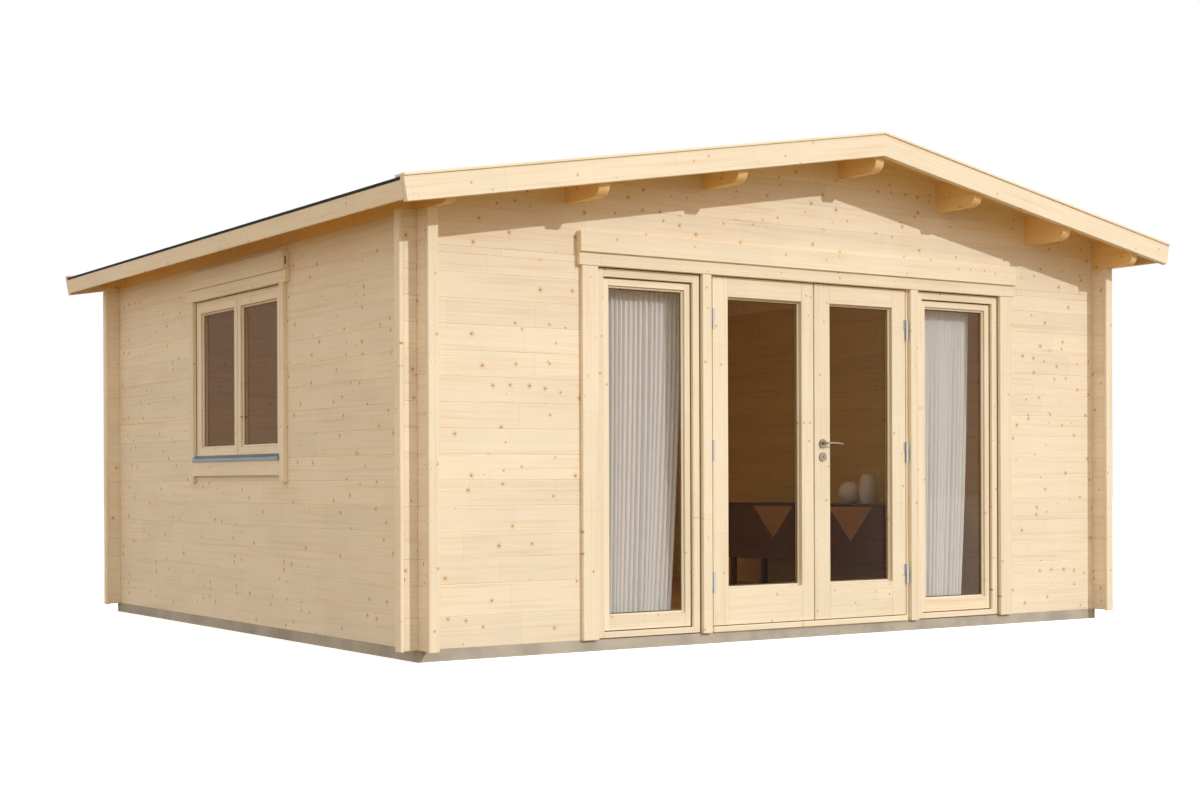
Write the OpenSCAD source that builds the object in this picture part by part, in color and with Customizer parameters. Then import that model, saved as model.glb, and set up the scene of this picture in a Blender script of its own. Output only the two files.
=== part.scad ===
// Garden chalet in untreated boards, with a shallow gable roof, a glazed front and one side window.
// The origin is on the ground at the middle of the overall box; the glazed gable faces -Y.

/* [House] */
// Outside width of the house over its side walls
house_w = 5010; // [4400:10:5600]
// Outside depth of the house over its front and back walls
house_d = 4482; // [3800:1:5200]
// Thickness of the wall boards
wall_t = 58; // [44:1:70]
// Height of the concrete base
slab_h = 60; // [40:5:120]
// How far the base stops short of the right wall's outer face
slab_inset = 40; // [0:5:50]
// Thickness of the floor boards
floor_t = 18; // [16:1:28]
// Height of the side walls' top above the ground, under the eave purlins
wall_top = 2265; // [2200:5:2400]
// How far the side walls' boards run past the front and back walls
log_run = 96; // [60:2:140]
// How far the front and back walls' boards run past the side walls
cross_run = 76; // [60:2:140]
// Thickness of the boards that cover the log ends
end_board_t = 22; // [16:1:28]
// Extra width of each end board past both faces of the wall it covers
end_board_lap = 1; // [0:1:3]
// How far the end boards hang below the walls
end_board_drop = 5; // [0:1:15]

/* [Roof] */
// Height of the roof boards' top at the ridge
ridge_h = 2868; // [2780:2:3050]
// How far the ridge stands to the right of the middle
ridge_shift = 306; // [-320:2:320]
// Slope of the left roof in degrees
pitch_left = 9.47; // [8:0.01:11]
// Slope of the right roof in degrees
pitch_right = 10.75; // [9:0.01:12]
// Roof overhang past each side wall
eave_run = 260; // [180:5:340]
// Roof overhang past the front wall
front_run = 362; // [280:2:440]
// Roof overhang past the back wall
back_run = 320; // [240:2:440]
// Thickness of the roof boards
deck_t = 19; // [16:1:28]
// Thickness of the roofing felt
felt_t = 3; // [2:1:6]
// Thickness of each bargeboard, made of two layers
barge_t = 40; // [24:2:50]
// Height of the bargeboards
barge_h = 122; // [90:2:150]
// Thickness of the eave boards
fascia_t = 20; // [16:1:28]
// Height of the eave boards
fascia_h = 104; // [70:2:120]
// Width of the strips on top of the bargeboards
strip_w = 98; // [70:2:130]
// Thickness of the strips on top of the bargeboards
strip_t = 14; // [10:1:20]
// How far the strips stand out past the bargeboards
strip_lip = 8; // [0:1:15]

/* [Purlins] */
// Width of the purlins
purlin_w = 68; // [50:1:90]
// Height of the middle purlins at their lower side
purlin_h = 160; // [120:2:200]
// Height of the ridge purlin
ridge_purlin_h = 184; // [130:2:230]
// Distance of the lower left purlin from the left wall's outer face
left_purlin_1 = 917; // [700:1:1100]
// Distance of the upper left purlin from the left wall's outer face
left_purlin_2 = 1820; // [1500:1:2100]
// Distance of the lower right purlin from the right wall's outer face
right_purlin_1 = 652; // [500:1:900]
// Distance of the upper right purlin from the right wall's outer face
right_purlin_2 = 1417; // [1150:1:1700]
// Radius at the lower corner of each purlin end
nose_r = 60; // [20:5:100]

/* [Front glazing] */
// How far the middle of the front glazing stands to the right of the house's middle
glazing_shift = 73; // [-200:1:200]
// Width of the front glazing between its side casings
glazing_w = 3010; // [2800:10:3300]
// Height of the glazing's head above the ground
glazing_top = 2047; // [1950:1:2100]
// Width of the casings
casing_w = 100; // [70:1:130]
// How far the casings stand out from the wall
casing_t = 25; // [16:1:32]
// Height of the thick head casing
head_casing_h = 109; // [80:1:130]
// How far the thick head casing stands out
head_casing_t = 45; // [30:1:60]
// Height of the head board under the thick casing
head_board_h = 70; // [50:1:90]
// How far the head board stands out
head_board_t = 30; // [20:1:38]
// How far the head boards run past the side casings
head_lug = 22; // [0:1:40]
// Visible width of the fixed windows' frames
frame_w = 50; // [35:1:60]
// How much of each frame is hidden behind the casings
frame_tuck = 15; // [5:1:30]
// Height of the frames' bottom members
sill_h = 37; // [30:1:50]
// Width of the rails and stiles around the fixed panes
sash_w = 43; // [30:1:60]
// Height of the bottom rails under the fixed panes
sash_bottom = 80; // [60:1:120]
// How far the sashes stand back from the frames
sash_step = 20; // [4:1:25]
// How far the panes stand back from the frames
glass_set = 45; // [30:1:48]
// Thickness of the panes
glass_t = 4; // [4:1:6]
// Width of the two posts beside the doors
post_w = 82; // [70:1:110]
// Width of the strips on the two posts
post_strip_w = 62; // [40:1:66]
// Distance of those strips from the fixed windows' side of the posts
post_strip_inset = 2; // [0:1:8]

/* [Doors] */
// Width of the doorway between its posts
doorway_w = 1462; // [1300:2:1600]
// Gap between the two door leaves
leaf_gap = 8; // [8:1:12]
// Gap between a leaf and its post
leaf_side_gap = 6; // [6:1:10]
// Gap above and below the leaves
leaf_end_gap = 5; // [5:1:10]
// Thickness of the door leaves
leaf_t = 50; // [44:1:56]
// How far the gap between the leaves stands to the right of the doorway's middle
meet_shift = 9; // [-20:1:20]
// Width of the leaves' stiles beside the posts
stile_w = 107; // [80:1:130]
// Width of the left leaf's stile at the gap
left_meet_w = 89; // [80:1:130]
// Width of the right leaf's stile at the gap
right_meet_w = 117; // [80:1:130]
// Height of the leaves' top rails
top_rail_h = 110; // [80:1:140]
// Height of the leaves' bottom rails
bottom_rail_h = 202; // [160:1:260]
// How far the door panes stand back
door_glass_set = 36; // [24:1:40]
// Radius of the hinge barrels
hinge_r = 8; // [6:0.5:8]
// Radius of the hinge pins
hinge_pin_r = 4; // [3:0.5:5]
// Running clearance of the pins and the lever's neck
run_fit = 0.08; // [0.05:0.01:0.1]
// Height of a hinge over both its halves
hinge_h = 117; // [80:1:130]
// Distance of the lowest hinge's middle from the leaf's lower edge
low_hinge_z = 243; // [180:1:300]
// Distance of the highest hinge's middle from the leaf's upper edge
high_hinge_z = 238; // [180:1:300]
// Height of the door lever above the ground
lever_z = 1118; // [950:1:1200]
// Length of the door lever
lever_len = 128; // [100:1:150]
// Radius of the lever's grip and neck
lever_r = 9; // [7:0.5:10]
// How far the lever stands out from the leaf
lever_out = 46; // [40:1:60]
// Radius of the round handle plates
rose_r = 26; // [20:1:30]
// Thickness of the round handle plates
rose_t = 8; // [5:1:10]
// Distance from the lever down to the key plate
key_drop = 78; // [60:1:92]

/* [Side window] */
// Distance from the front wall's outer face to the middle of the side window
side_mid = 2303; // [1900:1:2600]
// Width of the side window between its casings
side_w = 1336; // [1000:2:1500]
// Height of the side window's sill above the ground
side_bottom = 1034; // [900:1:1100]
// Height of the board under the side window
side_apron_h = 90; // [60:1:110]
// How far the side casings run below that board
side_horn = 40; // [0:1:60]
// Width of the casings beside the side window
side_casing_w = 60; // [45:1:110]
// How far its head boards run past those casings
side_lug = 45; // [0:1:60]
// Width of the side window's frame
side_frame_w = 32; // [25:1:45]
// Width of the stiles of its two sashes
side_stile_w = 46; // [36:1:60]
// Height of the bottom rails of its two sashes
side_rail_h = 52; // [40:1:70]
// Gap between its two sashes
side_gap = 8; // [6:1:12]
// Height of the metal drip sill
drip_h = 38; // [25:1:45]
// How far the metal drip sill stands out
drip_run = 34; // [20:1:50]

/* [Inside] */
// Thickness of the space that a gathered curtain takes
curtain_t = 60; // [40:2:80]
// Gap between the front wall and the curtains
curtain_back = 46; // [30:2:80]
// Width of the left curtain
curtain_left_w = 640; // [400:5:640]
// Width of the right curtain
curtain_right_w = 545; // [400:5:640]
// Height of the curtains' lower edge above the floor
curtain_foot = 30; // [10:5:100]
// Radius of the curtain rods
rod_r = 8; // [6:1:12]
// Length of the sideboard
board_l = 2200; // [1600:20:2400]
// Depth of the sideboard
board_d = 430; // [350:5:500]
// Height of the sideboard's top above the floor
board_top = 652; // [600:2:900]
// Height of the sideboard's case
board_case_h = 430; // [350:5:450]
// Gap between the sideboard and the right wall
board_gap = 20; // [10:5:60]
// Distance from the front wall's outer face to the middle of the sideboard
board_mid = 2290; // [1900:10:2600]
// Radius of the round vase
round_vase_r = 86; // [50:1:90]
// Distance of the round vase from the sideboard's front end
round_vase_y = 900; // [700:10:1100]
// Height of the tall vase
tall_vase_h = 215; // [160:1:260]
// Distance of the tall vase from the sideboard's front end
tall_vase_y = 710; // [500:10:720]

/* [Hidden] */
$fn = 48;

pine = "wheat";
shade_pine = "tan";
steel = "silver";

x_left = -house_w / 2;
x_right = house_w / 2;
y_front = (front_run - back_run) / 2 - house_d / 2;
y_back = y_front + house_d;
y_in_front = y_front + wall_t;
y_in_back = y_back - wall_t;
x_in_left = x_left + wall_t;
x_in_right = x_right - wall_t;
floor_z = slab_h + floor_t;
y_roof_front = y_front - front_run;
y_roof_back = y_back + back_run;
x_mid = glazing_shift;
gable_z = glazing_top + frame_tuck;
bleed = 10;
// A hair's gap on both faces of the roof boards, so that what seats on them doesn't cut in.
seat_gap = 0.02;

// A box between two opposite corners.
module box(low, high) {
    translate(low) cube([high[0] - low[0], high[1] - low[1], high[2] - low[2]]);
}

// A flat outline in x and z, run from y0 to y1.
module along_y(y0, y1) {
    translate([0, y1, 0]) rotate([90, 0, 0]) linear_extrude(y1 - y0) children();
}

// A flat outline in y and z, run from x0 to x1.
module along_x(x0, x1) {
    translate([x0, 0, 0]) rotate([90, 0, 90]) linear_extrude(x1 - x0) children();
}

// The same pieces on the left, and mirrored about the middle of the glazing on the right.
module both_sides() {
    translate([x_mid, 0, 0]) {
        children();
        mirror([1, 0, 0]) children();
    }
}

// Height of the roof boards' top at x.
function roof_z(x) = x < ridge_shift
    ? ridge_h - (ridge_shift - x) * tan(pitch_left)
    : ridge_h - (x - ridge_shift) * tan(pitch_right);
// Height of the roof boards' underside at x.
function under_z(x) = roof_z(x) - deck_t / cos(x < ridge_shift ? pitch_left : pitch_right);

// A point on a slope: side is -1 left or 1 right, run is down the slope, rise is square to it.
function slope_pitch(side) = side < 0 ? pitch_left : pitch_right;
function slope_point(side, run, rise) = let (p = slope_pitch(side))
    [ridge_shift + side * (run * cos(p) + rise * sin(p)), ridge_h - run * sin(p) + rise * cos(p)];
// Where a layer at this rise meets the upright plane through the ridge.
function ridge_run(side, rise) = -rise * tan(slope_pitch(side));
// Length of the slope from the ridge to the eave.
function slope_len(side) = (house_w / 2 + eave_run - side * ridge_shift) / cos(slope_pitch(side));

// A point of a wall's or a beam's top outline, which seats on the roof boards from below.
function seat(x) = [x, under_z(x) - seat_gap];

// The outline of one layer of a roof slope between two rises, cut square at the eave.
module layer(side, low, high, cut = 0) {
    polygon([slope_point(side, ridge_run(side, high), high),
        slope_point(side, slope_len(side) - cut, high),
        slope_point(side, slope_len(side) - cut, low),
        slope_point(side, ridge_run(side, low), low)]);
}

purlin_xs = [x_left + left_purlin_1, x_left + left_purlin_2, x_right - right_purlin_2,
    x_right - right_purlin_1];
function purlin_foot(x) = min(under_z(x - purlin_w / 2), under_z(x + purlin_w / 2)) - purlin_h;
ridge_foot = ridge_h - deck_t - ridge_purlin_h;
purlin_y0 = y_roof_front + barge_t;
purlin_y1 = y_roof_back - barge_t;

// The outline of a beam under the roof, from x0 to x1 and down to z0.
module beam_outline(x0, x1, z0) {
    peak = x0 < ridge_shift && x1 > ridge_shift ? [seat(ridge_shift)] : [];
    polygon(concat([[x0, z0], [x1, z0], seat(x1)], peak, [seat(x0)]));
}

// A beam from front to back with its lower end corners rounded.
module beam(x0, x1, z0) {
    intersection() {
        along_y(purlin_y0, purlin_y1) beam_outline(x0, x1, z0);
        along_x(x0 - bleed, x1 + bleed) nose_outline(z0);
    }
}

module nose_outline(z0) {
    top = ridge_h + bleed;
    translate([purlin_y0 + nose_r, z0 + nose_r]) circle(nose_r);
    translate([purlin_y1 - nose_r, z0 + nose_r]) circle(nose_r);
    translate([purlin_y0 + nose_r, z0]) square([purlin_y1 - purlin_y0 - 2 * nose_r, top - z0]);
    translate([purlin_y0, z0 + nose_r]) square([purlin_y1 - purlin_y0, top - z0 - nose_r]);
}

// The outline of a gable wall from z0 up, with the places of the purlins left open.
module gable_outline(z0) {
    difference() {
        polygon([[x_in_left, z0], [x_in_right, z0], seat(x_in_right), seat(ridge_shift),
            seat(x_in_left)]);
        for (x = purlin_xs)
            translate([x - purlin_w / 2, purlin_foot(x)]) square([purlin_w, ridge_h]);
        translate([ridge_shift - purlin_w / 2, ridge_foot]) square([purlin_w, ridge_h]);
    }
}

module foundation_slab() {
    color("darkgray")
        box([x_left, y_front, 0], [x_right - slab_inset, y_back, slab_h]);
}

module floor() {
    color(shade_pine)
        box([x_in_left, y_in_front, slab_h], [x_in_right, y_in_back, floor_z]);
}

side_y0 = y_front + side_mid - side_w / 2;
side_y1 = side_y0 + side_w;
side_cut = frame_tuck;

module left_wall() {
    color(pine) difference() {
        box([x_left, y_front - log_run, slab_h], [x_in_left, y_back + log_run, wall_top]);
        box([x_left - bleed, side_y0 - side_cut, side_bottom - side_cut],
            [x_in_left + bleed, side_y1 + side_cut, glazing_top + side_cut]);
    }
}

module right_wall() {
    color(pine)
        box([x_in_right, y_front - log_run, slab_h], [x_right, y_back + log_run, wall_top]);
}

glazing_x0 = x_mid - glazing_w / 2 - frame_tuck;
glazing_x1 = x_mid + glazing_w / 2 + frame_tuck;

module front_wall_left() {
    color(pine) box([x_in_left, y_front, slab_h], [glazing_x0, y_in_front, gable_z]);
}

module front_wall_right() {
    color(pine) box([glazing_x1, y_front, slab_h], [x_in_right, y_in_front, gable_z]);
}

module front_gable() {
    color(pine) along_y(y_front, y_in_front) gable_outline(gable_z);
}

module back_wall() {
    color(pine) along_y(y_in_back, y_back) gable_outline(slab_h);
}

// The ends of the front and back wall boards that show past the side walls.
module wall_log_ends() {
    color(pine) for (y = [y_front, y_in_back]) {
        box([x_left - cross_run, y, slab_h], [x_left, y + wall_t, wall_top]);
        box([x_right, y, slab_h], [x_right + cross_run, y + wall_t, wall_top]);
    }
}

// The upright boards that cover the log ends at the four corners.
module corner_boards() {
    foot = slab_h - end_board_drop;
    color(pine) {
        for (x = [x_left, x_in_right]) {
            box([x - end_board_lap, y_front - log_run - end_board_t, foot],
                [x + wall_t + end_board_lap, y_front - log_run, wall_top]);
            box([x - end_board_lap, y_back + log_run, foot],
                [x + wall_t + end_board_lap, y_back + log_run + end_board_t, wall_top]);
        }
        for (y = [y_front, y_in_back]) {
            box([x_left - cross_run - end_board_t, y - end_board_lap, foot],
                [x_left - cross_run, y + wall_t + end_board_lap, wall_top]);
            box([x_right + cross_run, y - end_board_lap, foot],
                [x_right + cross_run + end_board_t, y + wall_t + end_board_lap, wall_top]);
        }
    }
}

module ridge_purlin() {
    color(shade_pine)
        beam(ridge_shift - purlin_w / 2, ridge_shift + purlin_w / 2, ridge_foot);
}

module middle_purlins() {
    color(shade_pine) for (x = purlin_xs)
        beam(x - purlin_w / 2, x + purlin_w / 2, purlin_foot(x));
}

module eave_purlins() {
    color(shade_pine) {
        beam(x_left, x_in_left, wall_top);
        beam(x_in_right, x_right, wall_top);
    }
}

module roof_boards(side) {
    color(shade_pine) along_y(purlin_y0, purlin_y1) layer(side, -deck_t, 0, fascia_t + seat_gap);
}

module roof_boards_left() { roof_boards(-1); }

module roof_boards_right() { roof_boards(1); }

module roof_felt(side) {
    color("dimgray") along_y(purlin_y0, purlin_y1) layer(side, seat_gap, felt_t);
}

module roof_felt_left() { roof_felt(-1); }

module roof_felt_right() { roof_felt(1); }

// A pair of bargeboards, from y0 to y1, that meet in an upright joint under the ridge.
module bargeboards(y0, y1) {
    color(pine) for (side = [-1, 1])
        along_y(y0, y1) layer(side, felt_t - barge_h, felt_t);
}

module front_bargeboards() { bargeboards(y_roof_front, purlin_y0); }

module back_bargeboards() { bargeboards(purlin_y1, y_roof_back); }

module verge_strips(y0) {
    color(pine) for (side = [-1, 1])
        along_y(y0, y0 + strip_w) layer(side, felt_t, felt_t + strip_t);
}

module front_verge_strips() { verge_strips(y_roof_front - strip_lip); }

module back_verge_strips() { verge_strips(y_roof_back + strip_lip - strip_w); }

// The boards along both eaves, square to the slopes, under the felt.
module eave_boards() {
    color(pine) for (side = [-1, 1])
        along_y(purlin_y0, purlin_y1) polygon([
            slope_point(side, slope_len(side), 0),
            slope_point(side, slope_len(side), -fascia_h),
            slope_point(side, slope_len(side) - fascia_t, -fascia_h),
            slope_point(side, slope_len(side) - fascia_t, 0)]);
}

casing_x1 = glazing_w / 2 + casing_w;
head_x1 = casing_x1 + head_lug;
head_z1 = glazing_top + head_board_h;

module front_head_casing() {
    color(pine) translate([x_mid, 0, 0])
        box([-head_x1, y_front - head_casing_t, head_z1],
            [head_x1, y_front, head_z1 + head_casing_h]);
}

module front_head_board() {
    color(pine) translate([x_mid, 0, 0])
        box([-head_x1, y_front - head_board_t, glazing_top], [head_x1, y_front, head_z1]);
}

module front_side_casings() {
    color(pine) both_sides()
        box([glazing_w / 2, y_front - casing_t, slab_h], [casing_x1, y_front, glazing_top]);
}

frame_x1 = glazing_w / 2 + frame_tuck;
frame_x0 = doorway_w / 2 + post_w;
pane_x0 = frame_x0 + frame_w + sash_w;
pane_x1 = glazing_w / 2 - frame_w - sash_w;
pane_z0 = slab_h + sill_h + sash_bottom;
pane_z1 = glazing_top - frame_w - sash_w;

// A fixed window on the right of the doors: the frame and, set back in it, the fixed sash.
module fixed_window() {
    difference() {
        box([frame_x0, y_front, slab_h], [frame_x1, y_in_front, gable_z]);
        box([frame_x0 + frame_w, y_front - bleed, slab_h + sill_h],
            [glazing_w / 2 - frame_w, y_front + sash_step, glazing_top - frame_w]);
        box([pane_x0, y_front, pane_z0], [pane_x1, y_in_front + bleed, pane_z1]);
    }
}

module front_window_left() {
    color(pine) translate([x_mid, 0, 0]) mirror([1, 0, 0]) fixed_window();
}

module front_window_right() {
    color(pine) translate([x_mid, 0, 0]) fixed_window();
}

module front_window_panes() {
    color("lightblue", 0.4) both_sides()
        box([pane_x0, y_front + glass_set, pane_z0],
            [pane_x1, y_front + glass_set + glass_t, pane_z1]);
}

door_x1 = doorway_w / 2;
leaf_z0 = slab_h + sill_h;
leaf_z1 = glazing_top - leaf_end_gap;
door_sill_z = leaf_z0 - leaf_end_gap;
leaf_x1 = door_x1 - leaf_side_gap;

// The posts between the doors and the fixed windows, each with a strip that stands proud.
module door_posts() {
    strip_x1 = frame_x0 - post_strip_inset;
    color(pine) both_sides() {
        box([door_x1, y_front, slab_h], [frame_x0, y_in_front, gable_z]);
        box([strip_x1 - post_strip_w, y_front - casing_t, slab_h],
            [strip_x1, y_front, glazing_top]);
    }
}

module door_head() {
    color(pine) translate([x_mid, 0, 0])
        box([-door_x1, y_front, glazing_top], [door_x1, y_in_front, gable_z]);
}

module door_sill() {
    color(pine) translate([x_mid, 0, 0])
        box([-door_x1, y_front - casing_t / 2, slab_h], [door_x1, y_in_front, door_sill_z]);
}

spindle_r = lever_r / 2;

// The doors' places count from the doorway's middle towards the posts. The left leaf is drawn as if on
// the right and mirrored, so its edge at the gap lies on the other side of the meeting line.
right_leaf_x0 = meet_shift + leaf_gap / 2;
left_leaf_x0 = leaf_gap / 2 - meet_shift;
lever_x = right_leaf_x0 + right_meet_w / 2;

// A door leaf from its edge at the gap, with an opening for its pane.
module leaf(x0, meet_w) {
    difference() {
        box([x0, y_front, leaf_z0], [leaf_x1, y_front + leaf_t, leaf_z1]);
        box([x0 + meet_w, y_front - bleed, leaf_z0 + bottom_rail_h],
            [leaf_x1 - stile_w, y_front + leaf_t + bleed, leaf_z1 - top_rail_h]);
    }
}

module leaf_pane(x0, meet_w) {
    box([x0 + meet_w, y_front + door_glass_set, leaf_z0 + bottom_rail_h],
        [leaf_x1 - stile_w, y_front + door_glass_set + glass_t, leaf_z1 - top_rail_h]);
}

module left_door_leaf() {
    color(pine) translate([x_mid, 0, 0]) mirror([1, 0, 0]) leaf(left_leaf_x0, left_meet_w);
}

// The right leaf, drilled for the lever.
module right_door_leaf() {
    color(pine) translate([x_mid, 0, 0]) difference() {
        leaf(right_leaf_x0, right_meet_w);
        translate([lever_x, y_front - bleed, lever_z]) rotate([-90, 0, 0])
            cylinder(r = lever_r + run_fit, h = leaf_t + 2 * bleed);
    }
}

module left_door_pane() {
    color("lightblue", 0.4) translate([x_mid, 0, 0]) mirror([1, 0, 0])
        leaf_pane(left_leaf_x0, left_meet_w);
}

module right_door_pane() {
    color("lightblue", 0.4) translate([x_mid, 0, 0]) leaf_pane(right_leaf_x0, right_meet_w);
}

hinge_plate_t = 3;
hinge_plate_w = 18;
hinge_slack = 1;
hinge_x = door_x1 - leaf_side_gap / 3;
hinge_y = y_front - hinge_r - 2 * hinge_slack;
low_z = leaf_z0 + low_hinge_z;
high_z = leaf_z1 - high_hinge_z;
hinge_zs = [low_z, (low_z + high_z) / 2, high_z];

// The lower half of each hinge, on the right post: a plate, a barrel and the pin.
module post_hinge_half(z) {
    translate([hinge_x, hinge_y, z - hinge_h / 2]) {
        cylinder(r = hinge_r, h = hinge_h / 2 - hinge_slack);
        cylinder(r = hinge_pin_r, h = hinge_h - hinge_slack - hinge_r);
    }
    box([hinge_x, y_front - hinge_plate_t, z - hinge_h / 2],
        [hinge_x + hinge_plate_w, y_front, z - hinge_slack]);
}

// The upper half of each hinge, on the right leaf: a plate and a bored barrel.
module leaf_hinge_half(z) {
    difference() {
        union() {
            translate([hinge_x, hinge_y, z]) cylinder(r = hinge_r, h = hinge_h / 2);
            box([hinge_x - hinge_plate_w, y_front - hinge_plate_t, z],
                [hinge_x, y_front, z + hinge_h / 2]);
        }
        translate([hinge_x, hinge_y, z - bleed])
            cylinder(r = hinge_pin_r + run_fit, h = hinge_h / 2 + bleed - hinge_slack);
    }
}

module post_hinges() {
    color(steel) both_sides() for (z = hinge_zs) post_hinge_half(z);
}

module left_door_hinges() {
    color(steel) translate([x_mid, 0, 0]) mirror([1, 0, 0])
        for (z = hinge_zs) leaf_hinge_half(z);
}

module right_door_hinges() {
    color(steel) translate([x_mid, 0, 0]) for (z = hinge_zs) leaf_hinge_half(z);
}

// A round plate on the face at y; bore is the radius of the hole through it.
module plate(y, z, bore) {
    translate([lever_x, y, z]) rotate([-90, 0, 0]) difference() {
        cylinder(r = rose_r, h = rose_t);
        translate([0, 0, -bleed]) cylinder(r = bore, h = rose_t + 2 * bleed);
    }
}

module handle_plates() {
    color(steel) translate([x_mid, 0, 0]) for (y = [y_front - rose_t, y_front + leaf_t]) {
        plate(y, lever_z, lever_r + run_fit);
        plate(y, lever_z - key_drop, spindle_r);
    }
}

// The two grips and the neck that joins them through the leaf.
module door_lever() {
    grip_ys = [y_front - lever_out, y_front + leaf_t + lever_out];
    color(steel) translate([x_mid + lever_x, 0, lever_z]) {
        translate([0, grip_ys[0], 0]) rotate([-90, 0, 0])
            cylinder(r = lever_r, h = grip_ys[1] - grip_ys[0]);
        for (y = grip_ys) translate([0, y, 0]) {
            sphere(lever_r);
            rotate([0, 90, 0]) cylinder(r = lever_r, h = lever_len - lever_r);
            translate([lever_len - lever_r, 0, 0]) sphere(lever_r);
        }
    }
}

side_casing_y0 = side_y0 - side_casing_w;
side_casing_y1 = side_y1 + side_casing_w;

// The boards around the side window, on the wall's face.
module side_window_casings() {
    apron_z0 = side_bottom - side_apron_h;
    color(pine) {
        box([x_left - head_casing_t, side_casing_y0 - side_lug, head_z1],
            [x_left, side_casing_y1 - side_lug, head_z1 + head_casing_h]);
        box([x_left - head_board_t, side_casing_y0 - side_lug, glazing_top],
            [x_left, side_casing_y1 + side_lug, head_z1]);
        for (y = [side_casing_y0, side_y1])
            box([x_left - casing_t, y, apron_z0 - side_horn],
                [x_left, y + side_casing_w, glazing_top]);
        box([x_left - casing_t, side_y0, apron_z0], [x_left, side_y1, side_bottom]);
    }
}

side_in_y0 = side_y0 + side_frame_w;
side_in_y1 = side_y1 - side_frame_w;
side_in_z0 = side_bottom + side_frame_w;
side_in_z1 = glazing_top - side_frame_w;

module side_window_frame() {
    color(pine) difference() {
        box([x_left, side_y0 - side_cut, side_bottom - side_cut],
            [x_in_left, side_y1 + side_cut, glazing_top + side_cut]);
        box([x_left - bleed, side_in_y0, side_in_z0],
            [x_in_left + bleed, side_in_y1, side_in_z1]);
    }
}

sash_l = (side_in_y1 - side_in_y0 - side_gap) / 2;
sash_ys = [side_in_y0, side_in_y1 - sash_l];
sash_x1 = x_in_left - casing_t / 2;

module side_window_sashes() {
    color(pine) for (y = sash_ys) difference() {
        box([x_left, y, side_in_z0], [sash_x1, y + sash_l, side_in_z1]);
        box([x_left - bleed, y + side_stile_w, side_in_z0 + side_rail_h],
            [sash_x1 + bleed, y + sash_l - side_stile_w, side_in_z1 - side_stile_w]);
    }
}

module side_window_panes() {
    pane_x = x_left + (sash_x1 - x_left) / 2;
    color("lightblue", 0.4) for (y = sash_ys)
        box([pane_x, y + side_stile_w, side_in_z0 + side_rail_h],
            [pane_x + glass_t, y + sash_l - side_stile_w, side_in_z1 - side_stile_w]);
}

// The metal drip sill: a sloping lip in front of the sashes' lower edge.
module side_window_sill() {
    lip_z = side_bottom + drip_h / 2;
    color(steel) along_y(side_y0, side_y1) polygon([
        [x_left, side_bottom], [x_left, side_bottom + drip_h],
        [x_left - drip_run, lip_z], [x_left - drip_run, side_bottom]]);
}

curtain_y0 = y_in_front + curtain_back;
curtain_z1 = glazing_top - rod_r - 2;
left_curtain_x0 = x_mid - glazing_w / 2 + frame_w / 2;
right_curtain_x0 = x_mid + frame_x0 + frame_w / 2;

module curtain(x0, w) {
    color("whitesmoke")
        box([x0, curtain_y0, floor_z + curtain_foot], [x0 + w, curtain_y0 + curtain_t, curtain_z1]);
}

module left_curtain() { curtain(left_curtain_x0, curtain_left_w); }

module right_curtain() { curtain(right_curtain_x0, curtain_right_w); }

// A rod along the curtains' tops over each fixed window, on two arms from the frame.
module curtain_rods() {
    rod_y = curtain_y0 + curtain_t / 2;
    rod_z = curtain_z1 + rod_r;
    color(steel) both_sides() {
        translate([frame_x0, rod_y, rod_z]) rotate([0, 90, 0])
            cylinder(r = rod_r, h = glazing_w / 2 - frame_x0);
        for (x = [frame_x0 + frame_tuck, glazing_w / 2 - frame_tuck])
            box([x - rod_r, y_in_front, rod_z - rod_r / 2], [x + rod_r, rod_y, rod_z + rod_r / 2]);
    }
}

board_x1 = x_in_right - board_gap;
board_x0 = board_x1 - board_d;
board_y0 = y_front + board_mid - board_l / 2;
board_y1 = board_y0 + board_l;
board_z1 = floor_z + board_top;
board_leg = 40;

module sideboard() {
    color("saddlebrown") {
        box([board_x0, board_y0, board_z1 - board_case_h], [board_x1, board_y1, board_z1]);
        for (x = [board_x0 + board_leg, board_x1 - 2 * board_leg])
            for (y = [board_y0 + 2 * board_leg, board_y1 - 3 * board_leg])
                box([x, y, floor_z], [x + board_leg, y + board_leg, board_z1 - board_case_h]);
    }
}

// A round vase with a flat foot and mouth and, nearer the front, a tall one, on the sideboard.
module vases() {
    x = board_x0 + board_d / 2;
    foot_cut = round_vase_r / 18;
    foot_r = round_vase_r / 2;
    mouth_r = round_vase_r * 3 / 4;
    color("white") {
        translate([x, board_y0 + round_vase_y, board_z1]) rotate_extrude() intersection() {
            translate([0, round_vase_r - foot_cut]) circle(round_vase_r);
            square([round_vase_r, 2 * (round_vase_r - foot_cut)]);
        }
        translate([x, board_y0 + tall_vase_y, board_z1])
            cylinder(r1 = foot_r, r2 = mouth_r, h = tall_vase_h);
    }
}

foundation_slab();
floor();
left_wall();
right_wall();
front_wall_left();
front_wall_right();
front_gable();
back_wall();
wall_log_ends();
corner_boards();
ridge_purlin();
middle_purlins();
eave_purlins();
roof_boards_left();
roof_boards_right();
roof_felt_left();
roof_felt_right();
front_bargeboards();
back_bargeboards();
front_verge_strips();
back_verge_strips();
eave_boards();
front_head_casing();
front_head_board();
front_side_casings();
front_window_left();
front_window_right();
front_window_panes();
door_posts();
door_head();
door_sill();
left_door_leaf();
left_door_pane();
right_door_leaf();
right_door_pane();
post_hinges();
left_door_hinges();
right_door_hinges();
handle_plates();
door_lever();
side_window_casings();
side_window_frame();
side_window_sashes();
side_window_panes();
side_window_sill();
left_curtain();
right_curtain();
curtain_rods();
sideboard();
vases();
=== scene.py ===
"""Garden chalet: boards, glazing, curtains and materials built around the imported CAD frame."""
import math
import random

import bmesh
import bpy
from mathutils import Matrix, Vector, noise


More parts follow.
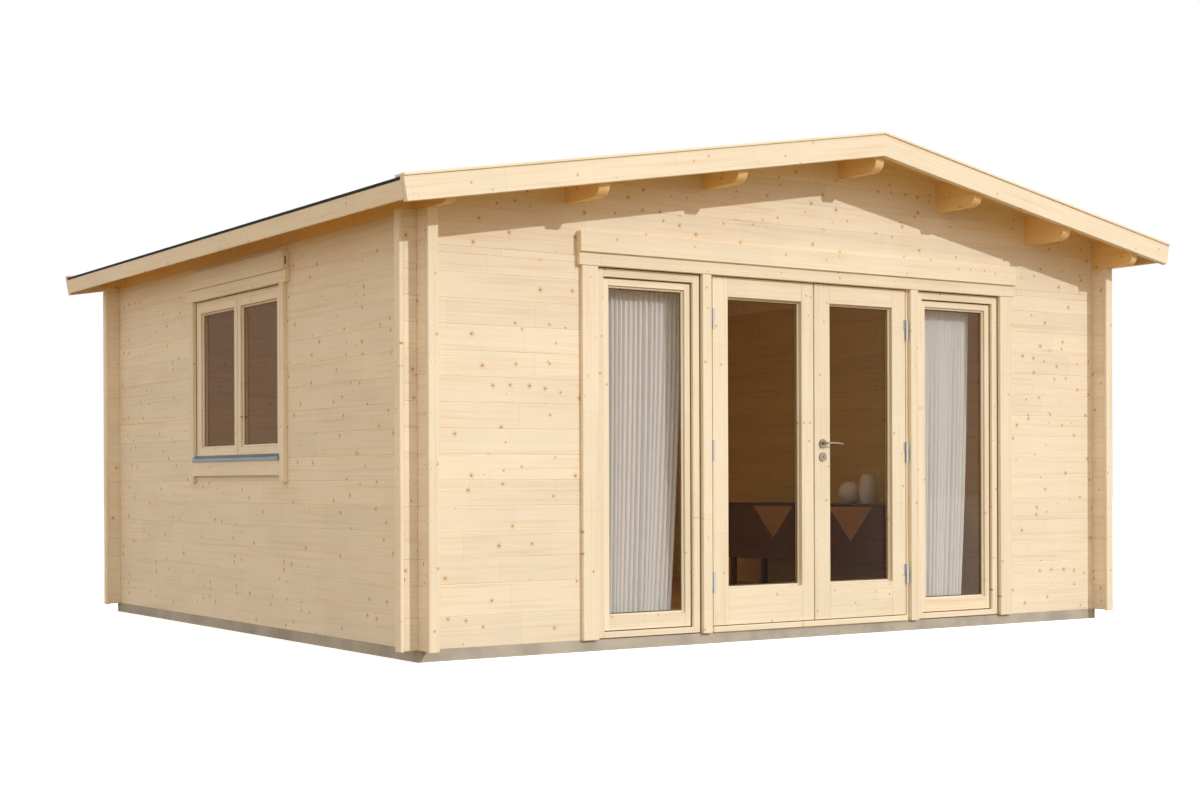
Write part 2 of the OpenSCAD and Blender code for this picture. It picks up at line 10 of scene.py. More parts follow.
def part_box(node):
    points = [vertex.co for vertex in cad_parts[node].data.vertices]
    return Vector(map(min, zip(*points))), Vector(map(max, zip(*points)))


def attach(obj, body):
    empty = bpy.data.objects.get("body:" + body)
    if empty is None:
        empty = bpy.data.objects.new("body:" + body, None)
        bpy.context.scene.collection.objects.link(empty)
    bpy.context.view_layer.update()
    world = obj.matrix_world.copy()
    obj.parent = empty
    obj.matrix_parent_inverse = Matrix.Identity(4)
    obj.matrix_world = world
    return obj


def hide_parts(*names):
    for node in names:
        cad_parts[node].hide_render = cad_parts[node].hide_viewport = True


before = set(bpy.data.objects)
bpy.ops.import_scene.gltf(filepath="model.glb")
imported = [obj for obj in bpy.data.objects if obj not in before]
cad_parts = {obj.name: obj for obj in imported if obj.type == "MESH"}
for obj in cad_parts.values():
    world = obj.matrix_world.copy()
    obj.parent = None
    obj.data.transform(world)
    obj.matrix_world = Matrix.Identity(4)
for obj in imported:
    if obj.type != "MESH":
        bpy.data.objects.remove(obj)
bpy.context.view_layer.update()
dice = random.Random(7)

# ---------------------------------------------------------------- sizes, in metres
COURSE_TALL = 0.162          # the two lowest wall boards
COURSE = 0.1319              # every wall board above them
JOINT = 0.0025               # bevel along the wall boards' joints
ARRIS = 0.0015               # bevel on planed pieces
ROOF_BOARD = 0.096           # width of one roof board
FLOOR_BOARD = 0.12
LAP = 0.08                   # overlap of two felt sheets
FELT_SHEET = 1.0
FELT_FOLD = 0.012            # felt turned down over the eave boards
FRAME_W = 0.050
SILL_H = 0.037
SASH_W = 0.043
SASH_BOTTOM = 0.080
SASH_STEP = 0.020
BEAD = 0.012
SPACER = 0.006
TUCK = 0.015
BOTTOM_RAIL = 0.202
BOTTOM_RAIL_JOINT = 0.097
TOP_RAIL = 0.110
SIDE_FRAME = 0.032
SIDE_STILE = 0.046
SIDE_RAIL = 0.052
BARGE_LAYER = 0.5            # share of the bargeboards' thickness in each layer
NOSE_R = 0.060
CASING_T = 0.025
HEAD_BOARD_H = 0.070
HEAD_BOARD_T = 0.030
SIDE_CASING_W = 0.060
SIDE_LUG = 0.045
SIDE_APRON_H = 0.090
STRIP_W = 0.062


def rgb(red, green, blue):
    """A colour written in screen values, as the linear one that a shader takes."""
    def linear(value):
        value /= 255
        return value / 12.92 if value <= 0.04045 else ((value + 0.055) / 1.055) ** 2.4
    return (linear(red), linear(green), linear(blue), 1.0)


# ---------------------------------------------------------------- shaders
class Shader:
    """A material with its Principled shader, and short calls to add nodes to it."""

    def __init__(self, name, rough=0.6, specular=0.3, metallic=0.0):
        self.mat = bpy.data.materials.new(name)
        self.mat.use_nodes = True
        self.tree = self.mat.node_tree
        self.bsdf = self.tree.nodes["Principled BSDF"]
        self.bsdf.inputs["Roughness"].default_value = rough
        self.bsdf.inputs["Specular IOR Level"].default_value = specular
        self.bsdf.inputs["Metallic"].default_value = metallic

    def put(self, socket, value):
        if isinstance(value, bpy.types.NodeSocket):
            self.tree.links.new(value, socket)
        else:
            socket.default_value = value

    def add(self, kind, out=0, settings=None, **inputs):
        node = self.tree.nodes.new(kind)
        for key, value in (settings or {}).items():
            setattr(node, key, value)
        for key, value in inputs.items():
            self.put(node.inputs[key.replace("_", " ")], value)
        return node.outputs[out]

    def calc(self, operation, first, second=0.0, clamp=False):
        node = self.tree.nodes.new("ShaderNodeMath")
        node.operation = operation
        node.use_clamp = clamp
        self.put(node.inputs[0], first)
        self.put(node.inputs[1], second)
        return node.outputs[0]

    def blend(self, amount, first, second, kind="MIX"):
        node = self.tree.nodes.new("ShaderNodeMix")
        node.data_type = "RGBA"
        node.blend_type = kind
        self.put(node.inputs[0], amount)
        self.put(node.inputs[6], first)
        self.put(node.inputs[7], second)
        return node.outputs[2]

    def span(self, value, low, high, to_low=0.0, to_high=1.0):
        return self.add("ShaderNodeMapRange", settings={"interpolation_type": "SMOOTHSTEP"},
                        Value=value, From_Min=low, From_Max=high, To_Min=to_low, To_Max=to_high)

    def scaled(self, vector, scale):
        return self.add("ShaderNodeMapping", Vector=vector, Scale=scale)

    def noise(self, vector, scale=1.0, detail=3.0):
        return self.add("ShaderNodeTexNoise", Vector=vector, Scale=scale, Detail=detail)

    def attribute(self, name, out):
        return self.add("ShaderNodeAttribute", out=out, settings={"attribute_name": name})

    def bump(self, height, distance, strength=1.0):
        normal = self.add("ShaderNodeBump", Height=height, Distance=distance, Strength=strength)
        self.put(self.bsdf.inputs["Normal"], normal)

    def colour(self, value):
        self.put(self.bsdf.inputs["Base Color"], value)


def wood(name, light, streak_colour, knot_colour, knots=1.0, rough=0.62, contrast=1.0):
    """Spruce: rings round a pith, streaks, fine grain, knots with halos, and glued blocks."""
    s = Shader(name, rough=rough, specular=0.25)
    grain = s.attribute("grain", 1)
    tone = s.attribute("tone", 2)
    parts = s.tree.nodes.new("ShaderNodeSeparateXYZ")
    s.put(parts.inputs[0], grain)

    cells = s.scaled(grain, (9.5, 9.5, 9.5))
    knot = s.tree.nodes.new("ShaderNodeTexVoronoi")
    knot.voronoi_dimensions = "2D"
    s.put(knot.inputs["Vector"], cells)
    knot.inputs["Scale"].default_value = 1.0
    cell = s.tree.nodes.new("ShaderNodeSeparateXYZ")
    s.put(cell.inputs[0], knot.outputs["Color"])
    size = s.calc("MULTIPLY", s.span(cell.outputs[0], 0.45, 1.05), 0.052 * knots)
    reach = s.calc("DIVIDE", knot.outputs["Distance"], s.calc("ADD", size, 0.0005))
    core = s.span(reach, 0.75, 1.15, 1.0, 0.0)
    halo = s.calc("MULTIPLY", s.span(reach, 1.0, 4.5, 1.0, 0.0), s.span(size, 0.005, 0.02))
    swirl = s.calc("MULTIPLY", s.span(reach, 0.8, 5.0, 1.0, 0.0), 0.008)

    wave = s.calc("MULTIPLY", s.noise(s.scaled(grain, (1.1, 5.0, 5.0)), detail=2.0), 0.030)
    across = s.calc("ADD", s.calc("ADD", parts.outputs[1], swirl), wave)
    radius = s.calc("SQRT", s.calc("ADD", s.calc("POWER", across, 2.0),
                                   s.calc("POWER", parts.outputs[2], 2.0)))
    ring = s.calc("FRACT", s.calc("MULTIPLY", radius, 165.0))
    late = s.calc("MULTIPLY", s.span(ring, 0.35, 0.93), s.span(ring, 0.93, 1.0, 1.0, 0.0))
    streak = s.span(s.noise(s.scaled(grain, (1.5, 48.0, 48.0)), detail=5.0), 0.47, 0.80)
    fine = s.noise(s.scaled(grain, (9.0, 420.0, 420.0)), detail=2.0)
    blotch = s.noise(s.scaled(grain, (2.2, 3.5, 3.5)), detail=2.0)

    block_at = s.calc("FLOOR", s.calc("MULTIPLY", parts.outputs[0], 1.9))
    block = s.add("ShaderNodeTexWhiteNoise", settings={"noise_dimensions": "1D"},
                  W=s.calc("ADD", block_at, s.calc("MULTIPLY", tone, 91.0)))
    edge = s.calc("ABSOLUTE", s.calc("SUBTRACT", s.calc("FRACT", s.calc(
        "MULTIPLY", parts.outputs[0], 1.9)), 0.5))
    block_line = s.calc("MULTIPLY", s.span(edge, 0.4975, 0.4995), 0.16)

    colour = s.blend(s.calc("MULTIPLY", streak, 0.42 * contrast, True), light, streak_colour)
    colour = s.blend(s.calc("MULTIPLY", late, 0.20 * contrast, True), colour, streak_colour)
    colour = s.blend(s.calc("MULTIPLY", halo, 0.55), colour, streak_colour)
    colour = s.blend(s.calc("MULTIPLY", core, 0.85), colour, knot_colour)
    level = s.calc("ADD", 0.905, s.calc("MULTIPLY", tone, 0.075))
    level = s.calc("ADD", level, s.calc("MULTIPLY", block, 0.045))
    level = s.calc("ADD", level, s.calc("MULTIPLY", s.calc("SUBTRACT", fine, 0.5), 0.10))
    level = s.calc("ADD", level, s.calc("MULTIPLY", s.calc("SUBTRACT", blotch, 0.5), 0.12))
    level = s.calc("SUBTRACT", level, block_line)
    shade = s.add("ShaderNodeCombineColor", Red=level, Green=level, Blue=level)
    s.colour(s.blend(1.0, colour, shade, "MULTIPLY"))
    s.put(s.bsdf.inputs["Roughness"], s.span(late, 0.0, 1.0, rough, rough - 0.12))
    height = s.calc("SUBTRACT", s.calc("ADD", s.calc("MULTIPLY", late, 0.5), fine),
                    s.calc("MULTIPLY", core, 0.8))
    s.bump(height, 0.0006, 0.35)
    return s.mat


def concrete():
    s = Shader("concrete", rough=0.85, specular=0.2)
    spot = s.add("ShaderNodeTexCoord", out=3)
    cloud = s.noise(spot, 4.5, 5.0)
    grit = s.noise(spot, 190.0, 3.0)
    colour = s.blend(s.span(cloud, 0.35, 0.7), rgb(196, 190, 178), rgb(172, 168, 158))
    s.colour(s.blend(s.calc("MULTIPLY", s.span(grit, 0.55, 0.72), 0.3), colour, rgb(120, 114, 104)))
    s.bump(s.calc("ADD", s.calc("MULTIPLY", cloud, 0.5), grit), 0.0015, 0.5)
    return s.mat


def felt():
    s = Shader("felt", rough=0.93, specular=0.2)
    spot = s.add("ShaderNodeTexCoord", out=3)
    grit = s.noise(spot, 520.0, 2.0)
    cloud = s.noise(spot, 1.7, 4.0)
    colour = s.blend(s.span(grit, 0.42, 0.66), rgb(34, 35, 39), rgb(78, 80, 84))
    s.colour(s.blend(s.calc("MULTIPLY", s.span(cloud, 0.4, 0.7), 0.35), colour, rgb(28, 29, 32)))
    s.bump(grit, 0.0012, 0.6)
    return s.mat


def metal(name, colour, rough, brushed=(1.0, 1.0, 1.0)):
    s = Shader(name, rough=rough, specular=0.5, metallic=1.0)
    spot = s.add("ShaderNodeTexCoord", out=3)
    brush = s.noise(s.scaled(spot, brushed), 90.0, 3.0)
    dull = tuple(0.82 * part for part in colour[:3]) + (1.0,)
    s.colour(s.blend(s.span(brush, 0.3, 0.75), colour, dull))
    s.put(s.bsdf.inputs["Roughness"], s.span(brush, 0.2, 0.8, rough, rough + 0.14))
    s.bump(brush, 0.0001, 0.3)
    return s.mat


MIRROR_SHARE = 0.05          # coated panes throw back little of the sky


def glass():
    """Clear panes: a see-through shader and a mirror, shared out by Fresnel."""
    s = Shader("glass")
    s.tree.nodes.remove(s.bsdf)
    clear = s.add("ShaderNodeBsdfTransparent", Color=(0.965, 0.965, 0.955, 1.0))
    spot = s.add("ShaderNodeTexCoord", out=3)
    ripple = s.add("ShaderNodeBump", Height=s.noise(spot, 2.0, 1.0), Distance=0.002, Strength=0.08)
    mirror = s.add("ShaderNodeBsdfGlossy", Color=(1.0, 1.0, 1.0, 1.0), Roughness=0.02, Normal=ripple)
    share = s.add("ShaderNodeFresnel", IOR=1.45)
    both = s.tree.nodes.new("ShaderNodeMixShader")
    s.put(both.inputs[0], s.calc("MULTIPLY", share, MIRROR_SHARE))
    s.put(both.inputs[1], clear)
    s.put(both.inputs[2], mirror)
    s.put(s.tree.nodes["Material Output"].inputs[0], both.outputs[0])
    return s.mat


def cloth():
    s = Shader("curtain_cloth", rough=0.9, specular=0.15)
    weave = s.attribute("weave", 1)
    parts = s.tree.nodes.new("ShaderNodeSeparateXYZ")
    s.put(parts.inputs[0], weave)
    warp = s.calc("SINE", s.calc("MULTIPLY", parts.outputs[0], 2400.0))
    weft = s.calc("SINE", s.calc("MULTIPLY", parts.outputs[1], 2400.0))
    slub = s.noise(s.scaled(weave, (160.0, 9.0, 1.0)), 1.0, 3.0)
    s.colour(s.blend(s.span(slub, 0.4, 0.7), rgb(250, 250, 252), rgb(240, 241, 244)))
    s.put(s.bsdf.inputs["Sheen Weight"], 0.2)
    s.bump(s.calc("ADD", s.calc("MULTIPLY", warp, weft), slub), 0.0003, 0.3)
    sheer = s.add("ShaderNodeBsdfTranslucent", Color=rgb(250, 250, 252))
    both = s.tree.nodes.new("ShaderNodeMixShader")
    both.inputs[0].default_value = 0.3
    s.put(both.inputs[1], s.bsdf.outputs[0])
    s.put(both.inputs[2], sheer)
    s.put(s.tree.nodes["Material Output"].inputs[0], both.outputs[0])
    return s.mat


def glaze():
    s = Shader("vase_glaze", rough=0.45, specular=0.4)
    spot = s.add("ShaderNodeTexCoord", out=3)
    speck = s.noise(spot, 240.0, 2.0)
    s.colour(s.blend(s.span(speck, 0.62, 0.74), rgb(250, 242, 228), rgb(196, 172, 140)))
    s.bump(s.noise(spot, 40.0, 3.0), 0.0008, 0.4)
    return s.mat


def rubber():
    s = Shader("spacer_grey", rough=0.5, specular=0.3)
    spot = s.add("ShaderNodeTexCoord", out=3)
    s.colour(s.blend(s.noise(spot, 60.0, 2.0), rgb(84, 76, 64), rgb(104, 96, 84)))
    return s.mat


STREAK = rgb(226, 176, 108)
KNOT = rgb(150, 92, 44)
PINE = wood("pine", rgb(248, 237, 216), STREAK, KNOT, contrast=0.8)
PINE_TRIM = wood("pine_trim", rgb(248, 237, 214), STREAK, KNOT, knots=0.6, contrast=0.7)
# Painted shade: an oranger copy of the pine for the purlins and roof boards, standing in for the warm
# shade under the eaves.
PINE_ROOF_WARM_SHADE = wood("pine_roof_painted_shade", rgb(250, 216, 154), STREAK, KNOT, knots=0.9)
PINE_FLOOR = wood("pine_floor", rgb(206, 150, 88), rgb(150, 104, 60), rgb(90, 54, 28), knots=0.7)
# Painted shade: a darker, oranger copy of the pine for the faces inside the walls, standing in for the
# dim warm light in the room.
PINE_ROOM_SHADE = wood("pine_room_painted_shade", rgb(232, 198, 112), rgb(200, 142, 62), rgb(120, 70, 32), knots=0.6)
# Painted shade: a dark brown wood for thin strips laid where the joinery's grooves and joints lie in
# shadow.
PAINTED_SHADE_WOOD = wood("painted_shade_wood", rgb(104, 66, 32), rgb(78, 46, 20), rgb(60, 34, 16), knots=0.0)
WALNUT = wood("walnut", rgb(112, 70, 38), rgb(60, 34, 18), rgb(36, 20, 10), 0.3, 0.4, 1.8)
OAK = wood("oak", rgb(196, 146, 88), rgb(150, 100, 54), rgb(90, 56, 28), 0.3, 0.45, 1.5)
CONCRETE = concrete()
FELT = felt()
STEEL = metal("steel", rgb(196, 196, 194), 0.30, (1.0, 1.0, 12.0))
NICKEL = metal("nickel", rgb(158, 148, 132), 0.22, (12.0, 1.0, 1.0))
ZINC = metal("sill_zinc", rgb(128, 138, 148), 0.42, (1.0, 0.06, 1.0))
GLASS = glass()
CLOTH = cloth()
GLAZE = glaze()
SPACER_GREY = rubber()


# ---------------------------------------------------------------- boards
def box_shape(low, high, bevel):
    """Points and faces of a box with bevelled edges; each corner has a point on each face."""
    bevel = min([bevel] + [0.45 * (high[k] - low[k]) for k in range(3)])
    signs = [(a, b, c) for a in (0, 1) for b in (0, 1) for c in (0, 1)]
    points = []
    index = {}
    for corner in signs:
        for face in range(3):
            spot = []
            for k in range(3):
                inset = 0.0 if k == face else bevel
                spot.append(high[k] - inset if corner[k] else low[k] + inset)
            index[corner, face] = len(points)
            points.append(spot)
    faces = [[index[corner, k] for k in range(3)] for corner in signs]
    for k in range(3):
        i, j = [other for other in range(3) if other != k]
        for first in (0, 1):
            loop = []
            for a, b in ((0, 0), (1, 0), (1, 1), (0, 1)):
                corner = [0, 0, 0]
                corner[k], corner[i], corner[j] = first, a, b
                loop.append(index[tuple(corner), k])
            faces.append(loop)
            for second in (0, 1):
                start = [0, 0, 0]
                start[i], start[j] = first, second
                end = list(start)
                end[k] = 1
                start, end = tuple(start), tuple(end)
                faces.append([index[start, i], index[end, i], index[end, j], index[start, j]])
    return points, faces


class Boards:
    """Many wooden pieces gathered into one object, each with its own grain and tone."""

    def __init__(self, name):
        self.name = name
        self.points = []
        self.faces = []
        self.grain = []
        self.tone = []

    def keep(self, bm, along, wide, thin, turn):
        """Adds a shape, with the grain running along one of its own axes."""
        bmesh.ops.recalc_face_normals(bm, faces=bm.faces)
        shift = Vector((dice.uniform(0, 40), dice.uniform(-0.06, 0.06), dice.uniform(0.02, 0.12)))
        tone = dice.random()
        mid = [0.5 * (min(v.co[k] for v in bm.verts) + max(v.co[k] for v in bm.verts))
               for k in range(3)]
        first = len(self.points)
        for vert in bm.verts:
            self.points.append(turn @ vert.co)
            self.grain.append((vert.co[along] + shift[0], vert.co[wide] - mid[wide] + shift[1],
                               vert.co[thin] - mid[thin] + shift[2]))
            self.tone.append(tone)
        for face in bm.faces:
            loop = [first + vert.index for vert in face.verts]
            self.faces.append(loop[::-1] if turn.determinant() < 0 else loop)

    def board(self, low, high, along, bevel=ARRIS, cuts=(), turn=None):
        """A bevelled board between two corners; each cut is a point and the side it removes."""
        turn = turn or Matrix.Identity(4)
        points, faces = box_shape(low, high, bevel)
        bm = bmesh.new()
        verts = [bm.verts.new(point) for point in points]
        for face in faces:
            bm.faces.new([verts[i] for i in face])
        back = turn.inverted()
        for spot, away in cuts:
            plane = back @ Vector(spot)
            normal = (turn.to_3x3().transposed() @ Vector(away)).normalized()
            cut = bmesh.ops.bisect_plane(bm, geom=bm.verts[:] + bm.edges[:] + bm.faces[:],
                                         plane_co=plane, plane_no=normal, clear_outer=True)
            rim = [item for item in cut["geom_cut"] if isinstance(item, bmesh.types.BMEdge)]
            if rim:
                bmesh.ops.holes_fill(bm, edges=rim, sides=0)
        if bm.verts:
            bm.verts.index_update()
            others = [k for k in range(3) if k != along]
            others.sort(key=lambda k: low[k] - high[k])
            self.keep(bm, along, others[0], others[1], turn)
        bm.free()

    def prism(self, outline, low, high, axis, along, turn=None):
        """An outline in the two axes after `axis`, run from low to high along it."""
        turn = turn or Matrix.Identity(4)
        u, v = (axis + 1) % 3, (axis + 2) % 3
        bm = bmesh.new()
        rings = []
        for level in (low, high):
            ring = []
            for a, b in outline:
                spot = [0.0, 0.0, 0.0]
                spot[axis], spot[u], spot[v] = level, a, b
                ring.append(bm.verts.new(spot))
            rings.append(ring)
            bm.faces.new(ring)
        count = len(outline)
        for i in range(count):
            j = (i + 1) % count
            bm.faces.new([rings[0][i], rings[0][j], rings[1][j], rings[1][i]])
        bm.verts.index_update()
        wide, thin = [k for k in range(3) if k != along]
        self.keep(bm, along, wide, thin, turn)
        bm.free()

    def done(self, body, material, replaced=(), slot="pine"):
        mesh = bpy.data.meshes.new(self.name)
        mesh.from_pydata([tuple(point) for point in self.points], [], self.faces)
        mesh.update()
        grain = mesh.attributes.new("grain", "FLOAT_VECTOR", "POINT")
        grain.data.foreach_set("vector", [part for spot in self.grain for part in spot])
        tone = mesh.attributes.new("tone", "FLOAT", "POINT")
        tone.data.foreach_set("value", self.tone)
        mesh.materials.append(material)
        # Faces inside the walls get the painted-shade copy of the pine.
        if material is PINE:
            mesh.materials.append(PINE_ROOM_SHADE)
            for face in mesh.polygons:
                face.material_index = int(in_room(face.center))
        piece = bpy.data.objects.new(self.name, mesh)
        bpy.context.scene.collection.objects.link(piece)
        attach(piece, body)
        if replaced:
            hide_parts(*replaced)
        return piece


def in_room(spot):
    """Whether a face lies on the inside of the walls."""
    return (left_high.x - JOINT < spot.x < right_low.x + JOINT
            and y_in - JOINT < spot.y < back_low.y + JOINT)


def courses(low, high):
    """The heights of the wall boards between two levels, as bottom and top."""
    level = walls_foot
    steps = []
    while level < high - 0.004:
        step = COURSE_TALL if len(steps) < 2 else COURSE
        steps.append((level, level + step))
        level += step
    return [(max(a, low), min(b, high)) for a, b in steps if b > low + 0.004]


def solids(name):
    """The boxes of a CAD node's separate solids, from left to right, then front to back."""
    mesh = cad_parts[name].data
    group = list(range(len(mesh.vertices)))

    def root(i):
        while group[i] != i:
            group[i] = group[group[i]]
            i = group[i]
        return i
    for edge in mesh.edges:
        a, b = (root(i) for i in edge.vertices)
        group[a] = b
    boxes = {}
    for i, vert in enumerate(mesh.vertices):
        key = root(i)
        low, high = boxes.setdefault(key, (vert.co.copy(), vert.co.copy()))
        for k in range(3):
            low[k] = min(low[k], vert.co[k])
            high[k] = max(high[k], vert.co[k])
    found = sorted(boxes.values(), key=lambda pair: (round(pair[0].x, 3), round(pair[0].y, 3)))
    merged = []
    for low, high in found:
        for other in merged:
            if all(low[k] <= other[1][k] + 1e-5 and high[k] >= other[0][k] - 1e-5
                   for k in range(3)):
                for k in range(3):
                    other[0][k] = min(other[0][k], low[k])
                    other[1][k] = max(other[1][k], high[k])
                break
        else:
            merged.append((low, high))
    return merged


left_low, left_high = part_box("left_wall")
right_low, right_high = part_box("right_wall")
back_low, back_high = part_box("back_wall")
gable_low, gable_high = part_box("front_gable")
front_l_low, front_l_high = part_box("front_wall_left")
front_r_low, front_r_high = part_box("front_wall_right")
walls_foot = left_low.z
y_front = front_l_low.y
y_in = front_l_high.y
gable_z = front_l_high.z


# ---------------------------------------------------------------- roof slopes
class Slope:
    """One side of the roof: u runs down it from the ridge, v along it, w square to it."""

    def __init__(self, side, boards, felt_node):
        self.side = side
        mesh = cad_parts[felt_node].data
        top = max(mesh.polygons, key=lambda face: face.normal.z).normal
        self.pitch = math.atan2(abs(top.x), top.z)
        low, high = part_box(boards)
        self.ridge_x = high.x if side < 0 else low.x
        self.ridge_z = high.z
        self.reach = (self.ridge_x - low.x if side < 0 else high.x - self.ridge_x)
        sine, cosine = math.sin(self.pitch), math.cos(self.pitch)
        self.turn = Matrix(((side * cosine, 0, side * sine, self.ridge_x),
                            (0, 1, 0, 0),
                            (-sine, 0, cosine, self.ridge_z),
                            (0, 0, 0, 1)))
        self.away = ((self.ridge_x, 0, 0), (-side, 0, 0))

    def length(self, rise=0.0, reach=None):
        """Run down the slope to a plumb distance from the ridge, measured at a rise."""
        reach = self.reach if reach is None else reach
        return (reach - rise * math.sin(self.pitch)) / math.cos(self.pitch)

    def lay(self, boards, run, across, rise, along, bevel=ARRIS, cuts=()):
        boards.board((run[0], across[0], rise[0]), (run[1], across[1], rise[1]), along, bevel,
                     cuts=tuple(cuts) + (self.away,), turn=self.turn)


SLOPES = (Slope(-1, "roof_boards_left", "roof_felt_left"),
          Slope(1, "roof_boards_right", "roof_felt_right"))
deck_low, deck_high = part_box("roof_boards_left")
felt_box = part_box("roof_felt_left")
fascia_boxes = solids("eave_boards")
barge_low, barge_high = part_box("front_bargeboards")
strip_low, strip_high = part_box("front_verge_strips")
RISE_PEAK = 0.06             # how far boards start past the ridge before they are cut plumb


def height_over(node, slope):
    """How far a layer's top stands over the roof boards, square to the slope."""
    low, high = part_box(node)
    return (high.z - slope.ridge_z) * math.cos(slope.pitch)


FELT_T = height_over("roof_felt_left", SLOPES[0])
STRIP_RISE = height_over("front_verge_strips", SLOPES[0])
deck_t = 0.019
fascia_h = 0.104
barge_h = 0.122
fascia_t = 0.020


def under_roof(drop=deck_t):
    """Cuts that take off whatever stands over the roof boards' undersides."""
    cuts = []
    for slope in SLOPES:
        normal = slope.turn.to_3x3() @ Vector((0, 0, 1))
        spot = slope.turn @ Vector((0, 0, -drop))
        cuts.append((spot, normal))
    return cuts


# ---------------------------------------------------------------- walls
def wall_x(boards, x0, x1, y0, y1, low, high, cuts=()):
    for z0, z1 in courses(low, high):
        boards.board((x0, y0, z0), (x1, y1, z1), 0, JOINT, cuts)


def crossings(low, high):
    """A side wall's run split inside the walls that cross it, where the split is hidden."""
    marks = [mark for mark in (0.5 * (y_front + y_in), 0.5 * (back_low.y + back_high.y))
             if low < mark < high]
    return list(zip([low] + marks, marks + [high]))


front_wall = Boards("front_wall_boards")
wall_x(front_wall, front_l_low.x, front_l_high.x, y_front, y_in, walls_foot, gable_z)
wall_x(front_wall, front_r_low.x, front_r_high.x, y_front, y_in, walls_foot, gable_z)
wall_x(front_wall, gable_low.x, gable_high.x, y_front, y_in, gable_z, gable_high.z, under_roof())
front_wall.done("chalet", PINE, ["front_wall_left", "front_wall_right", "front_gable"])

back_wall = Boards("back_wall_boards")
wall_x(back_wall, back_low.x, back_high.x, back_low.y, back_high.y, walls_foot, back_high.z,
       under_roof())
back_wall.done("chalet", PINE, ["back_wall"])

frame_low, frame_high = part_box("side_window_frame")
left_wall = Boards("left_wall_boards")
for z0, z1 in courses(walls_foot, left_high.z):
    if z1 <= frame_low.z or z0 >= frame_high.z:
        spans = [(left_low.y, left_high.y, z0, z1)]
    else:
        spans = [(left_low.y, frame_low.y, z0, z1), (frame_high.y, left_high.y, z0, z1)]
        if z0 < frame_low.z:
            spans.append((frame_low.y, frame_high.y, z0, frame_low.z))
        if z1 > frame_high.z:
            spans.append((frame_low.y, frame_high.y, frame_high.z, z1))
    for y0, y1, a, b in spans:
        for start, end in crossings(y0, y1):
            left_wall.board((left_low.x, start, a), (left_high.x, end, b), 1, JOINT)
left_wall.done("chalet", PINE, ["left_wall"])

right_wall = Boards("right_wall_boards")
for z0, z1 in courses(walls_foot, right_high.z):
    for start, end in crossings(right_low.y, right_high.y):
        right_wall.board((right_low.x, start, z0), (right_high.x, end, z1), 1, JOINT)
right_wall.done("chalet", PINE, ["right_wall"])

ends = Boards("log_end_boards")
for low, high in solids("wall_log_ends"):
    for z0, z1 in courses(walls_foot, high.z):
        ends.board((low.x, low.y, z0), (high.x, high.y, z1), 0, JOINT)
ends.done("chalet", PINE, ["wall_log_ends"], "log_ends")

# The upright cover boards, with two nail heads at every second wall board.
covers = Boards("corner_cover_boards")
nails = Boards("cover_nails")
NAIL_R = 0.0032
NAIL_RISE = 0.0006
for low, high in solids("corner_boards"):
    covers.board(low, high, 2, 0.003)
    thin = 0 if high.x - low.x < high.y - low.y else 1
    wide = 1 - thin
    outward = 1 if low[thin] + high[thin] > 0 else -1
    face = high[thin] if outward > 0 else low[thin]
    for z0, z1 in courses(walls_foot, high.z)[::2]:
        for share in (0.28, 0.72):
            spot = [0.0, 0.0, 0.5 * (z0 + z1) + dice.uniform(-0.01, 0.01)]
            spot[wide] = low[wide] + share * (high[wide] - low[wide])
            spot[thin] = face
            u, v = (thin + 1) % 3, (thin + 2) % 3
            ring = [(spot[u] + NAIL_R * math.cos(k * math.tau / 8),
                     spot[v] + NAIL_R * math.sin(k * math.tau / 8)) for k in range(8)]
            edges = sorted((face - outward * 0.002, face + outward * NAIL_RISE))
            nails.prism(ring, edges[0], edges[1], thin, 2)
covers.done("chalet", PINE_TRIM, ["corner_boards"])
nails.done("chalet", STEEL, slot="steel")

# ---------------------------------------------------------------- purlins
purlins = Boards("purlin_beams")
deck_y0, deck_y1 = deck_low.y, deck_high.y


def nose(z0, top, steps=8):
    """The side outline of a purlin, in y and z, with both lower corners rounded."""
    outline = []
    for middle, start in ((deck_y0 + NOSE_R, 180), (deck_y1 - NOSE_R, 270)):
        for k in range(steps + 1):
            angle = math.radians(start + 90 * k / steps)
            outline.append((middle + NOSE_R * math.cos(angle), z0 + NOSE_R + NOSE_R * math.sin(angle)))
    return outline + [(deck_y1, top), (deck_y0, top)]


def purlin(low, high):
    outline = nose(low.z, high.z)
    bm = bmesh.new()
    rings = [[bm.verts.new((x, y, z)) for y, z in outline] for x in (low.x, high.x)]
    bm.faces.new(rings[0])
    bm.faces.new(rings[1])
    for i in range(len(outline)):
        j = (i + 1) % len(outline)
        bm.faces.new([rings[0][i], rings[0][j], rings[1][j], rings[1][i]])
    for spot, normal in under_roof():
        cut = bmesh.ops.bisect_plane(bm, geom=bm.verts[:] + bm.edges[:] + bm.faces[:],
                                     plane_co=spot, plane_no=normal, clear_outer=True)
        rim = [item for item in cut["geom_cut"] if isinstance(item, bmesh.types.BMEdge)]
        if rim:
            bmesh.ops.holes_fill(bm, edges=rim, sides=0)
    sharp = [edge for edge in bm.edges if len(edge.link_faces) == 2
             and edge.calc_face_angle(0) > math.radians(40)]
    bmesh.ops.bevel(bm, geom=sharp, offset=0.003, segments=1, affect="EDGES")
    bm.verts.index_update()
    purlins.keep(bm, 1, 2, 0, Matrix.Identity(4))
    bm.free()


for name in ("ridge_purlin", "middle_purlins", "eave_purlins"):
    for low, high in solids(name):
        purlin(low, high)
purlins.done("chalet", PINE_ROOF_WARM_SHADE, ["ridge_purlin", "middle_purlins", "eave_purlins"])

